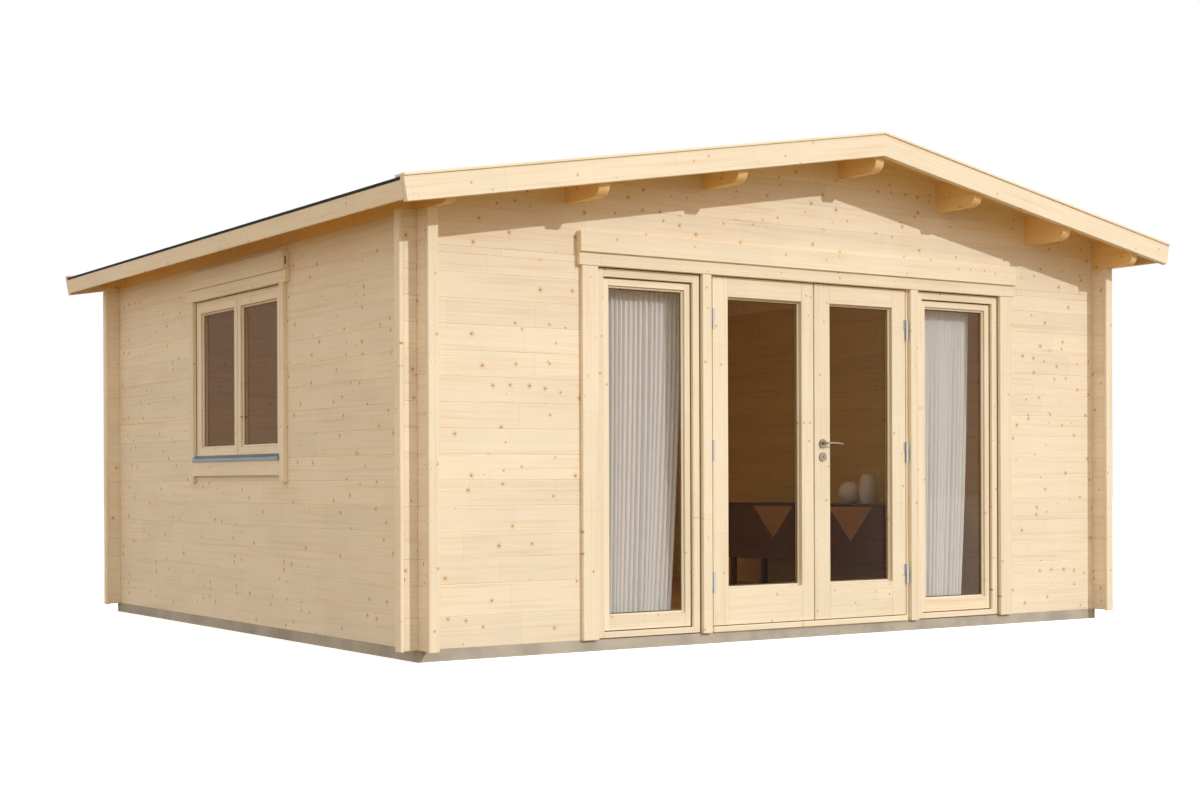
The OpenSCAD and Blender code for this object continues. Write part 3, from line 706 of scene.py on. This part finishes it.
# ---------------------------------------------------------------- roof boards, felt, trims
for slope, side_name in zip(SLOPES, ("left", "right")):
    deck = Boards("roof_deck_" + side_name)
    count = round((deck_y1 - deck_y0) / ROOF_BOARD)
    step = (deck_y1 - deck_y0) / count
    for k in range(count):
        y0 = deck_y0 + k * step
        slope.lay(deck, (-RISE_PEAK, slope.length()), (y0, y0 + step), (-deck_t, 0), 0, JOINT)
    deck.done("chalet", PINE_ROOF_WARM_SHADE, ["roof_boards_" + side_name], "roof_boards")

    sheet = Boards("roof_felt_sheets_" + side_name)
    eave = slope.length() + fascia_t
    slope.lay(sheet, (-RISE_PEAK, eave), (deck_y0, deck_y1), (0, 0.6 * FELT_T), 0, 0.0002)
    start = eave
    while start > 0:
        lap = (max(start - LAP, -RISE_PEAK), start)
        slope.lay(sheet, lap, (deck_y0, deck_y1), (0.6 * FELT_T, FELT_T), 0, 0.0004)
        start -= FELT_SHEET - LAP
    slope.lay(sheet, (-RISE_PEAK, 0.25), (deck_y0, deck_y1), (0.6 * FELT_T, FELT_T), 0, 0.0004)
    slope.lay(sheet, (eave, eave + 0.0018), (deck_y0, deck_y1), (-FELT_FOLD, FELT_T), 0, 0.0004)
    sheet.done("chalet", FELT, ["roof_felt_" + side_name], "felt")

eaves = Boards("eave_trim_boards")
for slope in SLOPES:
    run = (slope.length(), slope.length() + fascia_t)
    slope.lay(eaves, run, (deck_y0, deck_y1), (-fascia_h, 0), 1)
eaves.done("chalet", PINE_TRIM, ["eave_boards"])

for end, node, strip_node in ((-1, "front_bargeboards", "front_verge_strips"),
                              (1, "back_bargeboards", "back_verge_strips")):
    low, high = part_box(node)
    middle = low.y + BARGE_LAYER * (high.y - low.y)
    barge = Boards("front_barge_layers" if end < 0 else "back_barge_layers")
    strips = Boards("front_verge_trim" if end < 0 else "back_verge_trim")
    strip_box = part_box(strip_node)
    for slope in SLOPES:
        eave = slope.length() + fascia_t
        for y0, y1 in ((low.y, middle), (middle, high.y)):
            slope.lay(barge, (-RISE_PEAK, eave), (y0, y1), (FELT_T - barge_h, FELT_T), 0, 0.002)
        slope.lay(strips, (-RISE_PEAK, eave), (strip_box[0].y, strip_box[1].y),
                  (FELT_T, STRIP_RISE), 0, 0.002)
    barge.done("chalet", PINE_TRIM, [node])
    strips.done("chalet", PINE_TRIM, [strip_node])

# ---------------------------------------------------------------- base and floor
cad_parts["foundation_slab"].data.materials.clear()
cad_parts["foundation_slab"].data.materials.append(CONCRETE)

floor_low, floor_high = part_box("floor")
planks = Boards("floor_planks")
count = round((floor_high.x - floor_low.x) / FLOOR_BOARD)
step = (floor_high.x - floor_low.x) / count
for k in range(count):
    x0 = floor_low.x + k * step
    planks.board((x0, floor_low.y, floor_low.z), (x0 + step, floor_high.y, floor_high.z), 1, 0.0012)
planks.done("chalet", PINE_FLOOR, ["floor"], "floor")


# ---------------------------------------------------------------- frames and panes
class Face:
    """A wall face to build on: across runs along it, depth runs into the house."""

    def __init__(self, depth_axis):
        self.depth = depth_axis
        self.across = 1 - depth_axis

    def board(self, boards, across, level, depth, along, bevel=ARRIS):
        low = [0.0, 0.0, level[0]]
        high = [0.0, 0.0, level[1]]
        low[self.across], high[self.across] = across
        low[self.depth], high[self.depth] = depth
        boards.board(low, high, 2 if along == "up" else self.across, bevel)

    def ring(self, boards, across, level, widths, depth, bevel=ARRIS):
        """Two stiles, and two rails between them; widths are left, right, bottom and top."""
        left, right, bottom, top = widths
        (a0, a1), (z0, z1) = across, level
        self.board(boards, (a0, a0 + left), level, depth, "up", bevel)
        self.board(boards, (a1 - right, a1), level, depth, "up", bevel)
        self.board(boards, (a0 + left, a1 - right), (z0, z0 + bottom), depth, "flat", bevel)
        self.board(boards, (a0 + left, a1 - right), (z1 - top, z1), depth, "flat", bevel)


FRONT = Face(1)
SIDE = Face(0)

casings = Boards("front_casing_boards")
for node in ("front_head_casing", "front_head_board", "front_side_casings"):
    for low, high in solids(node):
        along = 0 if high.x - low.x > high.z - low.z else 2
        casings.board(low, high, along, 0.002)
casings.done("chalet", PINE_TRIM, ["front_head_casing", "front_head_board", "front_side_casings"])

SHADE_LINE_W = 0.006                  # width of the painted shade line where two pieces of joinery meet
# Thin dark strips on the joinery's faces where pieces meet: painted shade for the shadowed grooves.
shade_lines = Boards("joinery_painted_shade_lines")
panes = solids("front_window_panes")
spacers = Boards("pane_spacers")
glazing_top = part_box("front_head_board")[0].z
for side, node, pane in ((-1, "front_window_left", panes[0]), (1, "front_window_right", panes[-1])):
    low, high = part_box(node)
    window = Boards(node + "_joinery")
    outer = (low.x, high.x)
    tuck_l = TUCK if side < 0 else 0.0
    tuck_r = TUCK if side > 0 else 0.0
    FRONT.ring(window, outer, (low.z, high.z),
               (FRAME_W + tuck_l, FRAME_W + tuck_r, SILL_H, FRAME_W + TUCK), (y_front, y_in))
    inner = (low.x + FRAME_W + tuck_l, high.x - FRAME_W - tuck_r)
    level = (low.z + SILL_H, glazing_top - FRAME_W)
    FRONT.ring(window, inner, level, (SASH_W, SASH_W, SASH_BOTTOM, SASH_W),
               (y_front + SASH_STEP, y_in))
    # Painted shade lines round the sash and round the frame's seen edge.
    FRONT.ring(shade_lines, inner, level, (SHADE_LINE_W, SHADE_LINE_W, SHADE_LINE_W, SHADE_LINE_W),
               (y_front + SASH_STEP - 0.0006, y_front + SASH_STEP + 0.0004), 0.0001)
    seen = (low.x + tuck_l, high.x - tuck_r)
    FRONT.ring(shade_lines, seen, (low.z, glazing_top), (SHADE_LINE_W, SHADE_LINE_W, SHADE_LINE_W, SHADE_LINE_W),
               (y_front - 0.0006, y_front + 0.0004), 0.0001)
    glass_at = pane[0].y
    hole = (pane[0].x, pane[1].x)
    height = (pane[0].z, pane[1].z)
    FRONT.ring(window, hole, height, (BEAD,) * 4, (glass_at - 0.014, glass_at), 0.004)
    rim = tuple(a + b for a, b in zip(hole, (BEAD, -BEAD)))
    rim_z = tuple(a + b for a, b in zip(height, (BEAD, -BEAD)))
    FRONT.ring(spacers, rim, rim_z, (SPACER,) * 4, (glass_at - 0.0012, glass_at - 0.0002), 0.0002)
    window.done("chalet", PINE_TRIM, [node])

posts = Boards("door_surround")
strip_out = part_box("door_posts")[0].y
for low, high in solids("door_posts"):
    posts.board((low.x, y_front, low.z), (high.x, y_in, high.z), 2)
    room = 0.5 * (high.x - low.x - STRIP_W)
    outside = 0.002 if low.x > 0 else 2 * room - 0.002
    x0 = high.x - STRIP_W - 0.002 if low.x > 0 else low.x + 0.002
    posts.board((x0, strip_out, low.z), (x0 + STRIP_W, y_front, glazing_top), 2, 0.002)
for node in ("door_head", "door_sill"):
    low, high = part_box(node)
    posts.board(low, high, 0, 0.003)
posts.done("chalet", PINE_TRIM, ["door_posts", "door_head", "door_sill"])

for body, leaf_node, pane_node in (("left_door", "left_door_leaf", "left_door_pane"),
                                   ("right_door", "right_door_leaf", "right_door_pane")):
    low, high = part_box(leaf_node)
    pane_low, pane_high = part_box(pane_node)
    leaf = Boards(leaf_node + "_joinery")
    hole = (pane_low.x, pane_high.x)
    depth = (low.y, high.y)
    FRONT.board(leaf, (low.x, hole[0]), (low.z, high.z), depth, "up", 0.002)
    FRONT.board(leaf, (hole[1], high.x), (low.z, high.z), depth, "up", 0.002)
    joint = low.z + BOTTOM_RAIL_JOINT
    FRONT.board(leaf, hole, (low.z, joint), depth, "flat", 0.002)
    FRONT.board(leaf, hole, (joint, pane_low.z), depth, "flat", 0.002)
    FRONT.board(leaf, hole, (pane_high.z, high.z), depth, "flat", 0.002)
    for face, out in ((pane_low.y, -0.016), (pane_high.y, 0.010)):
        edges = tuple(sorted((face, face + out)))
        FRONT.ring(leaf, hole, (pane_low.z, pane_high.z), (BEAD,) * 4, edges, 0.004)
    leaf.done(body, PINE_TRIM, [leaf_node])
    rim = Boards(pane_node + "_spacer")
    FRONT.ring(rim, (hole[0] + BEAD, hole[1] - BEAD), (pane_low.z + BEAD, pane_high.z - BEAD),
               (SPACER,) * 4, (pane_low.y - 0.0012, pane_low.y - 0.0002), 0.0002)
    rim.done(body, SPACER_GREY, slot="steel")

# ---------------------------------------------------------------- side window
side = Boards("side_window_boards")
side_low, side_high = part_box("side_window_casings")
y0, y1 = frame_low.y + TUCK, frame_high.y - TUCK
out = y0 - SIDE_CASING_W, y1 + SIDE_CASING_W
side_bottom = frame_low.z + TUCK
head_z = glazing_top + HEAD_BOARD_H
wall_face = left_low.x
SIDE.board(side, (out[0] - SIDE_LUG, out[1] - SIDE_LUG), (head_z, side_high.z),
           (side_low.x, wall_face), "flat", 0.002)
SIDE.board(side, (out[0] - SIDE_LUG, out[1] + SIDE_LUG), (glazing_top, head_z),
           (wall_face - HEAD_BOARD_T, wall_face), "flat", 0.002)
for span in ((out[0], y0), (y1, out[1])):
    SIDE.board(side, span, (side_low.z, glazing_top), (wall_face - CASING_T, wall_face), "up", 0.002)
SIDE.board(side, (y0, y1), (side_bottom - SIDE_APRON_H, side_bottom),
           (wall_face - CASING_T, wall_face), "flat", 0.002)
side.done("chalet", PINE_TRIM, ["side_window_casings"])

side_frame = Boards("side_window_joinery")
width = SIDE_FRAME + TUCK
SIDE.ring(side_frame, (frame_low.y, frame_high.y), (frame_low.z, frame_high.z), (width,) * 4,
          (frame_low.x, frame_high.x))
# Painted shade lines round the side window's frame.
SIDE.ring(shade_lines, (y0, y1), (side_bottom, glazing_top), (SHADE_LINE_W,) * 4,
          (frame_low.x - 0.0006, frame_low.x + 0.0004), 0.0001)
# A short upright strip of painted shade across the end of the head casing.
SLOT_W, SLOT_H = 0.008, 0.045
slot_y = out[0] - SIDE_LUG
SIDE.board(shade_lines, (slot_y - 0.0005, slot_y + 0.001), (head_z + 0.03, head_z + 0.03 + SLOT_H),
           (side_low.x + 0.012, side_low.x + 0.012 + SLOT_W), "up", 0.0001)
side_panes = solids("side_window_panes")
side_panes.sort(key=lambda pair: pair[0].y)
sashes = solids("side_window_sashes")
sashes.sort(key=lambda pair: pair[0].y)
for (low, high), (pane_low, pane_high) in zip(sashes, side_panes):
    SIDE.ring(side_frame, (low.y, high.y), (low.z, high.z),
              (SIDE_STILE, SIDE_STILE, SIDE_RAIL, SIDE_STILE), (low.x, high.x), 0.002)
    hole = (pane_low.y, pane_high.y)
    level = (pane_low.z, pane_high.z)
    SIDE.ring(side_frame, hole, level, (BEAD,) * 4, (pane_low.x - 0.010, pane_low.x), 0.004)
    SIDE.ring(spacers, (hole[0] + BEAD, hole[1] - BEAD), (level[0] + BEAD, level[1] - BEAD),
              (SPACER,) * 4, (pane_low.x - 0.0012, pane_low.x - 0.0002), 0.0002)
side_frame.done("chalet", PINE_TRIM, ["side_window_frame", "side_window_sashes"])
shade_lines.done("chalet", PAINTED_SHADE_WOOD)
spacers.done("chalet", SPACER_GREY, slot="steel")


# ---------------------------------------------------------------- curtains
def curtain(node, folds, seed):
    """A gathered curtain: narrow pleats under the rod that open into deeper folds below."""
    low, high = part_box(node)
    draw = random.Random(seed)
    phase = [draw.uniform(0, math.tau) for _ in range(4)]
    columns, rows = folds * 16, 60
    middle = 0.5 * (low.y + high.y)
    depth = 0.42 * (high.y - low.y)
    height = high.z - low.z
    mesh_points = []
    for r in range(rows + 1):
        drop = r / rows
        open_out = drop ** 0.7
        spread = 1.0 - 0.15 * drop ** 1.5
        z = high.z - drop * height
        for c in range(columns + 1):
            t = c / columns
            wander = 0.9 * math.sin(2.0 * math.tau * t + phase[0] + 0.9 * drop)
            wander += 0.5 * math.sin(5.0 * math.tau * t + phase[2] + 0.6 * drop)
            fold = math.tau * folds * t + wander + 0.5 * math.sin(3.3 * drop + phase[1])
            deep = (0.35 + 0.65 * open_out) * (0.68 + 0.32 * math.sin(3.0 * math.tau * t + phase[2]))
            small = (1 - open_out) * 0.22 * math.sin(2.0 * fold + phase[3])
            y = middle + depth * (deep * math.sin(fold) + small)
            x = low.x + t * spread * (high.x - low.x) + 0.006 * math.cos(fold) * open_out
            mesh_points.append((x, y, z))
    faces = []
    for r in range(rows):
        for c in range(columns):
            a = r * (columns + 1) + c
            faces.append((a, a + 1, a + columns + 2, a + columns + 1))
    mesh = bpy.data.meshes.new(node + "_cloth")
    mesh.from_pydata(mesh_points, [], faces)
    mesh.update()
    for face in mesh.polygons:
        face.use_smooth = True
    weave = mesh.attributes.new("weave", "FLOAT_VECTOR", "POINT")
    gather = 2.0
    coordinates = []
    for i in range(len(mesh_points)):
        c, r = i % (columns + 1), i // (columns + 1)
        coordinates += [gather * c / columns * (high.x - low.x), r / rows * height, 0.0]
    weave.data.foreach_set("vector", coordinates)
    mesh.materials.append(CLOTH)
    piece = bpy.data.objects.new(node + "_cloth", mesh)
    bpy.context.scene.collection.objects.link(piece)
    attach(piece, "chalet")
    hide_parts(node)


curtain("left_curtain", 19, 3)
curtain("right_curtain", 16, 5)

# ---------------------------------------------------------------- sideboard and vases
board_boxes = solids("sideboard")
case_low, case_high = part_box("sideboard")
case_foot = case_high.z - 0.430
FACET = 0.003
cabinet = Boards("sideboard_case")
cabinet.board((case_low.x + FACET, case_low.y, case_foot), (case_high.x, case_high.y, case_high.z - 0.02),
              1, 0.002)
cabinet.board((case_low.x, case_low.y, case_high.z - 0.02), case_high, 1, 0.002)
LEG = 0.040
for x in (case_low.x + LEG, case_high.x - 2 * LEG):
    for y in (case_low.y + 2 * LEG, case_high.y - 3 * LEG):
        cabinet.board((x, y, case_low.z), (x + LEG, y + LEG, case_foot), 2, 0.003)
cabinet.done("chalet", WALNUT, ["sideboard"], "dark_wood")
facets = Boards("sideboard_facets")
middle = 0.5 * (case_low.y + case_high.y)
HALF = 0.235
FACET_DROP = 0.245
face_top = case_high.z - 0.021
for shift in (-0.44, 0.44):
    outline = [(middle + shift - HALF, face_top), (middle + shift + HALF, face_top),
               (middle + shift, face_top - FACET_DROP)]
    facets.prism(outline, case_low.x + 0.0006, case_low.x + FACET + 0.001, 0, 1)
facets.done("chalet", OAK, slot="dark_wood")


def lathe(name, spot, profile, material, replaced=()):
    """A turned piece from a profile of radius and height."""
    turns = 48
    points = []
    faces = []
    for radius, height in profile:
        for k in range(turns):
            angle = math.tau * k / turns
            points.append((spot[0] + radius * math.cos(angle), spot[1] + radius * math.sin(angle),
                           spot[2] + height))
    for r in range(len(profile) - 1):
        for k in range(turns):
            j = (k + 1) % turns
            faces.append((r * turns + k, r * turns + j, (r + 1) * turns + j, (r + 1) * turns + k))
    faces.append(tuple(range(turns))[::-1])
    faces.append(tuple((len(profile) - 1) * turns + k for k in range(turns)))
    mesh = bpy.data.meshes.new(name)
    mesh.from_pydata(points, [], faces)
    mesh.update()
    for face in mesh.polygons:
        face.use_smooth = len(face.vertices) == 4
    mesh.materials.append(material)
    piece = bpy.data.objects.new(name, mesh)
    bpy.context.scene.collection.objects.link(piece)
    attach(piece, "chalet")
    if replaced:
        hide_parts(*replaced)
    return piece


def vase_profile(radius, height, foot, mouth):
    """A belly between a foot and a mouth, as shares of its radius, and a little of the inside."""
    low, high = math.acos(foot), math.acos(mouth)
    steps = 20
    profile = []
    for k in range(steps + 1):
        angle = -low + (low + high) * k / steps
        level = (math.sin(angle) + math.sin(low)) / (math.sin(low) + math.sin(high))
        profile.append((radius * math.cos(angle), height * level))
    return profile + [(radius * mouth - 0.006, height), (radius * mouth - 0.006, height - 0.03)]


vase_boxes = sorted(solids("vases"), key=lambda pair: pair[0].y)
for index, (low, high) in enumerate(vase_boxes):
    spot = (0.5 * (low.x + high.x), 0.5 * (low.y + high.y), low.z)
    radius = 0.5 * (high.x - low.x)
    height = high.z - low.z
    if index == 0:
        lathe("tall_vase", spot, vase_profile(radius, height, 0.62, 0.60), GLAZE, ["vases"])
    else:
        lathe("round_vase", spot, vase_profile(radius, height, 0.42, 0.42), GLAZE)

# ---------------------------------------------------------------- door lever
LEVER_R = 0.009
GRIP_ROUND = 16


def lever():
    """Two slim grips, each rising a little and bending down at its tip, on a neck through the leaf."""
    low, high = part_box("door_lever")
    axis_x = low.x + LEVER_R
    axis_z = 0.5 * (low.z + high.z)
    length = high.x - axis_x
    points, faces = [], []

    def tube(path, radii):
        first = len(points)
        for i, (spot, radius) in enumerate(zip(path, radii)):
            ahead = path[min(i + 1, len(path) - 1)] - path[max(i - 1, 0)]
            side_way = ahead.cross(Vector((0, 0, 1))).normalized()
            up_way = side_way.cross(ahead).normalized()
            for k in range(GRIP_ROUND):
                angle = math.tau * k / GRIP_ROUND
                points.append(spot + radius * (0.8 * math.cos(angle) * side_way
                                               + math.sin(angle) * up_way))
        for i in range(len(path) - 1):
            for k in range(GRIP_ROUND):
                a, b = first + i * GRIP_ROUND + k, first + i * GRIP_ROUND + (k + 1) % GRIP_ROUND
                faces.append((a, b, b + GRIP_ROUND, a + GRIP_ROUND))
        faces.append(tuple(range(first, first + GRIP_ROUND))[::-1])
        last = first + (len(path) - 1) * GRIP_ROUND
        faces.append(tuple(range(last, last + GRIP_ROUND)))

    steps = 26
    for y, turn_in in ((low.y + LEVER_R, 1), (high.y - LEVER_R, -1)):
        path, radii = [], []
        for k in range(steps + 1):
            t = k / steps
            rise = 0.0035 * math.sin(math.pi * t) - 0.0045 * t ** 4
            path.append(Vector((axis_x - 0.004 + t * (length + 0.002), y, axis_z + rise)))
            radii.append((0.0066 - 0.0026 * t) * math.sqrt(max(0.05, 1 - max(0, t - 0.93) / 0.075)))
        tube(path, radii)
    path = [Vector((axis_x, low.y + LEVER_R + t * (high.y - low.y - 2 * LEVER_R) / 8, axis_z))
            for t in range(9)]
    tube(path, [0.0078] * 9)
    mesh = bpy.data.meshes.new("lever_handle")
    mesh.from_pydata([tuple(point) for point in points], [], faces)
    mesh.update()
    for face in mesh.polygons:
        face.use_smooth = len(face.vertices) == 4
    mesh.materials.append(NICKEL)
    piece = bpy.data.objects.new("lever_handle", mesh)
    bpy.context.scene.collection.objects.link(piece)
    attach(piece, "lever")
    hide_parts("door_lever")


lever()

# ---------------------------------------------------------------- kept CAD nodes
for names, material in (((
        "front_window_panes", "left_door_pane", "right_door_pane", "side_window_panes"), GLASS),
        (("post_hinges", "left_door_hinges", "right_door_hinges", "curtain_rods"), STEEL),
        (("handle_plates",), NICKEL),
        (("side_window_sill",), ZINC)):
    for name in names:
        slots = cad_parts[name].data.materials
        slots.clear()
        slots.append(material)

# ---------------------------------------------------------------- light, floor and camera
SUN_STRENGTH = 1.52
FILL_STRENGTH = 0.95
FILL_COLOUR = (1.0, 0.92, 0.82, 1.0)
to_sun = Vector((0.334, -0.834, 0.438))
sun = bpy.data.lights.new("sun", "SUN")
sun.energy = SUN_STRENGTH
sun.angle = math.radians(0.6)
sun.color = (1.0, 1.0, 0.98)
sun_object = bpy.data.objects.new("sun", sun)
sun_object.rotation_euler = to_sun.to_track_quat("Z", "Y").to_euler()
bpy.context.scene.collection.objects.link(sun_object)


ROOM_LAMP_W = 11.5
lamp = bpy.data.lights.new("room_glow", "POINT")
lamp.energy = ROOM_LAMP_W
lamp.shadow_soft_size = 0.5
lamp.color = (1.0, 0.92, 0.78)
lamp_object = bpy.data.objects.new("room_glow", lamp)
lamp_object.location = (0.5 * (left_high.x + right_low.x), 0.5 * (y_in + back_low.y), 2.0)
lamp_object.visible_camera = False
lamp_object.visible_glossy = False
bpy.context.scene.collection.objects.link(lamp_object)


def seen_by_eye(tree):
    """1 for camera, glossy and transmission rays, 0 for the rays that light the object."""
    path = tree.nodes.new("ShaderNodeLightPath")
    total = path.outputs["Is Camera Ray"]
    for name in ("Is Glossy Ray", "Is Transmission Ray"):
        node = tree.nodes.new("ShaderNodeMath")
        node.operation = "ADD"
        node.use_clamp = True
        tree.links.new(total, node.inputs[0])
        tree.links.new(path.outputs[name], node.inputs[1])
        total = node.outputs[0]
    return total


world = bpy.data.worlds.new("studio")
bpy.context.scene.world = world
world.use_nodes = True
tree = world.node_tree
fill = tree.nodes["Background"]
fill.inputs[0].default_value = FILL_COLOUR
fill.inputs[1].default_value = FILL_STRENGTH
white = tree.nodes.new("ShaderNodeBackground")
white.inputs[0].default_value = (1.0, 1.0, 1.0, 1.0)
white.inputs[1].default_value = 1.0
choose = tree.nodes.new("ShaderNodeMixShader")
tree.links.new(seen_by_eye(tree), choose.inputs[0])
tree.links.new(fill.outputs[0], choose.inputs[1])
tree.links.new(white.outputs[0], choose.inputs[2])
tree.links.new(choose.outputs[0], tree.nodes["World Output"].inputs[0])

paper = bpy.data.materials.new("studio_floor")
paper.use_nodes = True
tree = paper.node_tree
lit = tree.nodes["Principled BSDF"]
lit.inputs["Base Color"].default_value = (0.92, 0.92, 0.92, 1.0)
lit.inputs["Roughness"].default_value = 0.9
lit.inputs["Specular IOR Level"].default_value = 0.0
bounce = tree.nodes.new("ShaderNodeBsdfDiffuse")
bounce.inputs[0].default_value = (0.27, 0.17, 0.055, 1.0)
glow = tree.nodes.new("ShaderNodeEmission")
glow.inputs[1].default_value = 0.55
shown = tree.nodes.new("ShaderNodeAddShader")
tree.links.new(lit.outputs[0], shown.inputs[0])
tree.links.new(glow.outputs[0], shown.inputs[1])
choose = tree.nodes.new("ShaderNodeMixShader")
tree.links.new(seen_by_eye(tree), choose.inputs[0])
tree.links.new(bounce.outputs[0], choose.inputs[1])
tree.links.new(shown.outputs[0], choose.inputs[2])
tree.links.new(choose.outputs[0], tree.nodes["Material Output"].inputs[0])
FLOOR_REACH = 60.0
mesh = bpy.data.meshes.new("studio_floor")
mesh.from_pydata([(x, y, 0.0) for x, y in ((-FLOOR_REACH, -FLOOR_REACH), (FLOOR_REACH, -FLOOR_REACH),
                                           (FLOOR_REACH, FLOOR_REACH), (-FLOOR_REACH, FLOOR_REACH))],
                 [], [(0, 1, 2, 3)])
mesh.materials.append(paper)
stage_floor = bpy.data.objects.new("studio_floor", mesh)
bpy.context.scene.collection.objects.link(stage_floor)

CAMERA_LEFT = 4.27323        # from the left wall's outer face
CAMERA_AHEAD = 8.03518       # from the front wall's outer face
CAMERA_HEIGHT = 0.90632
camera = bpy.data.cameras.new("camera")
camera.sensor_width = 36
camera.lens = 54.404
camera.shift_y = 0.0677
camera_object = bpy.data.objects.new("camera", camera)
camera_object.location = (left_low.x - CAMERA_LEFT, y_front - CAMERA_AHEAD, CAMERA_HEIGHT)
camera_object.rotation_euler = [math.radians(angle) for angle in (89.9036, 0.2162, -33.7501)]
bpy.context.scene.collection.objects.link(camera_object)
bpy.context.scene.camera = camera_object
bpy.context.scene.view_settings.view_transform = "Standard"
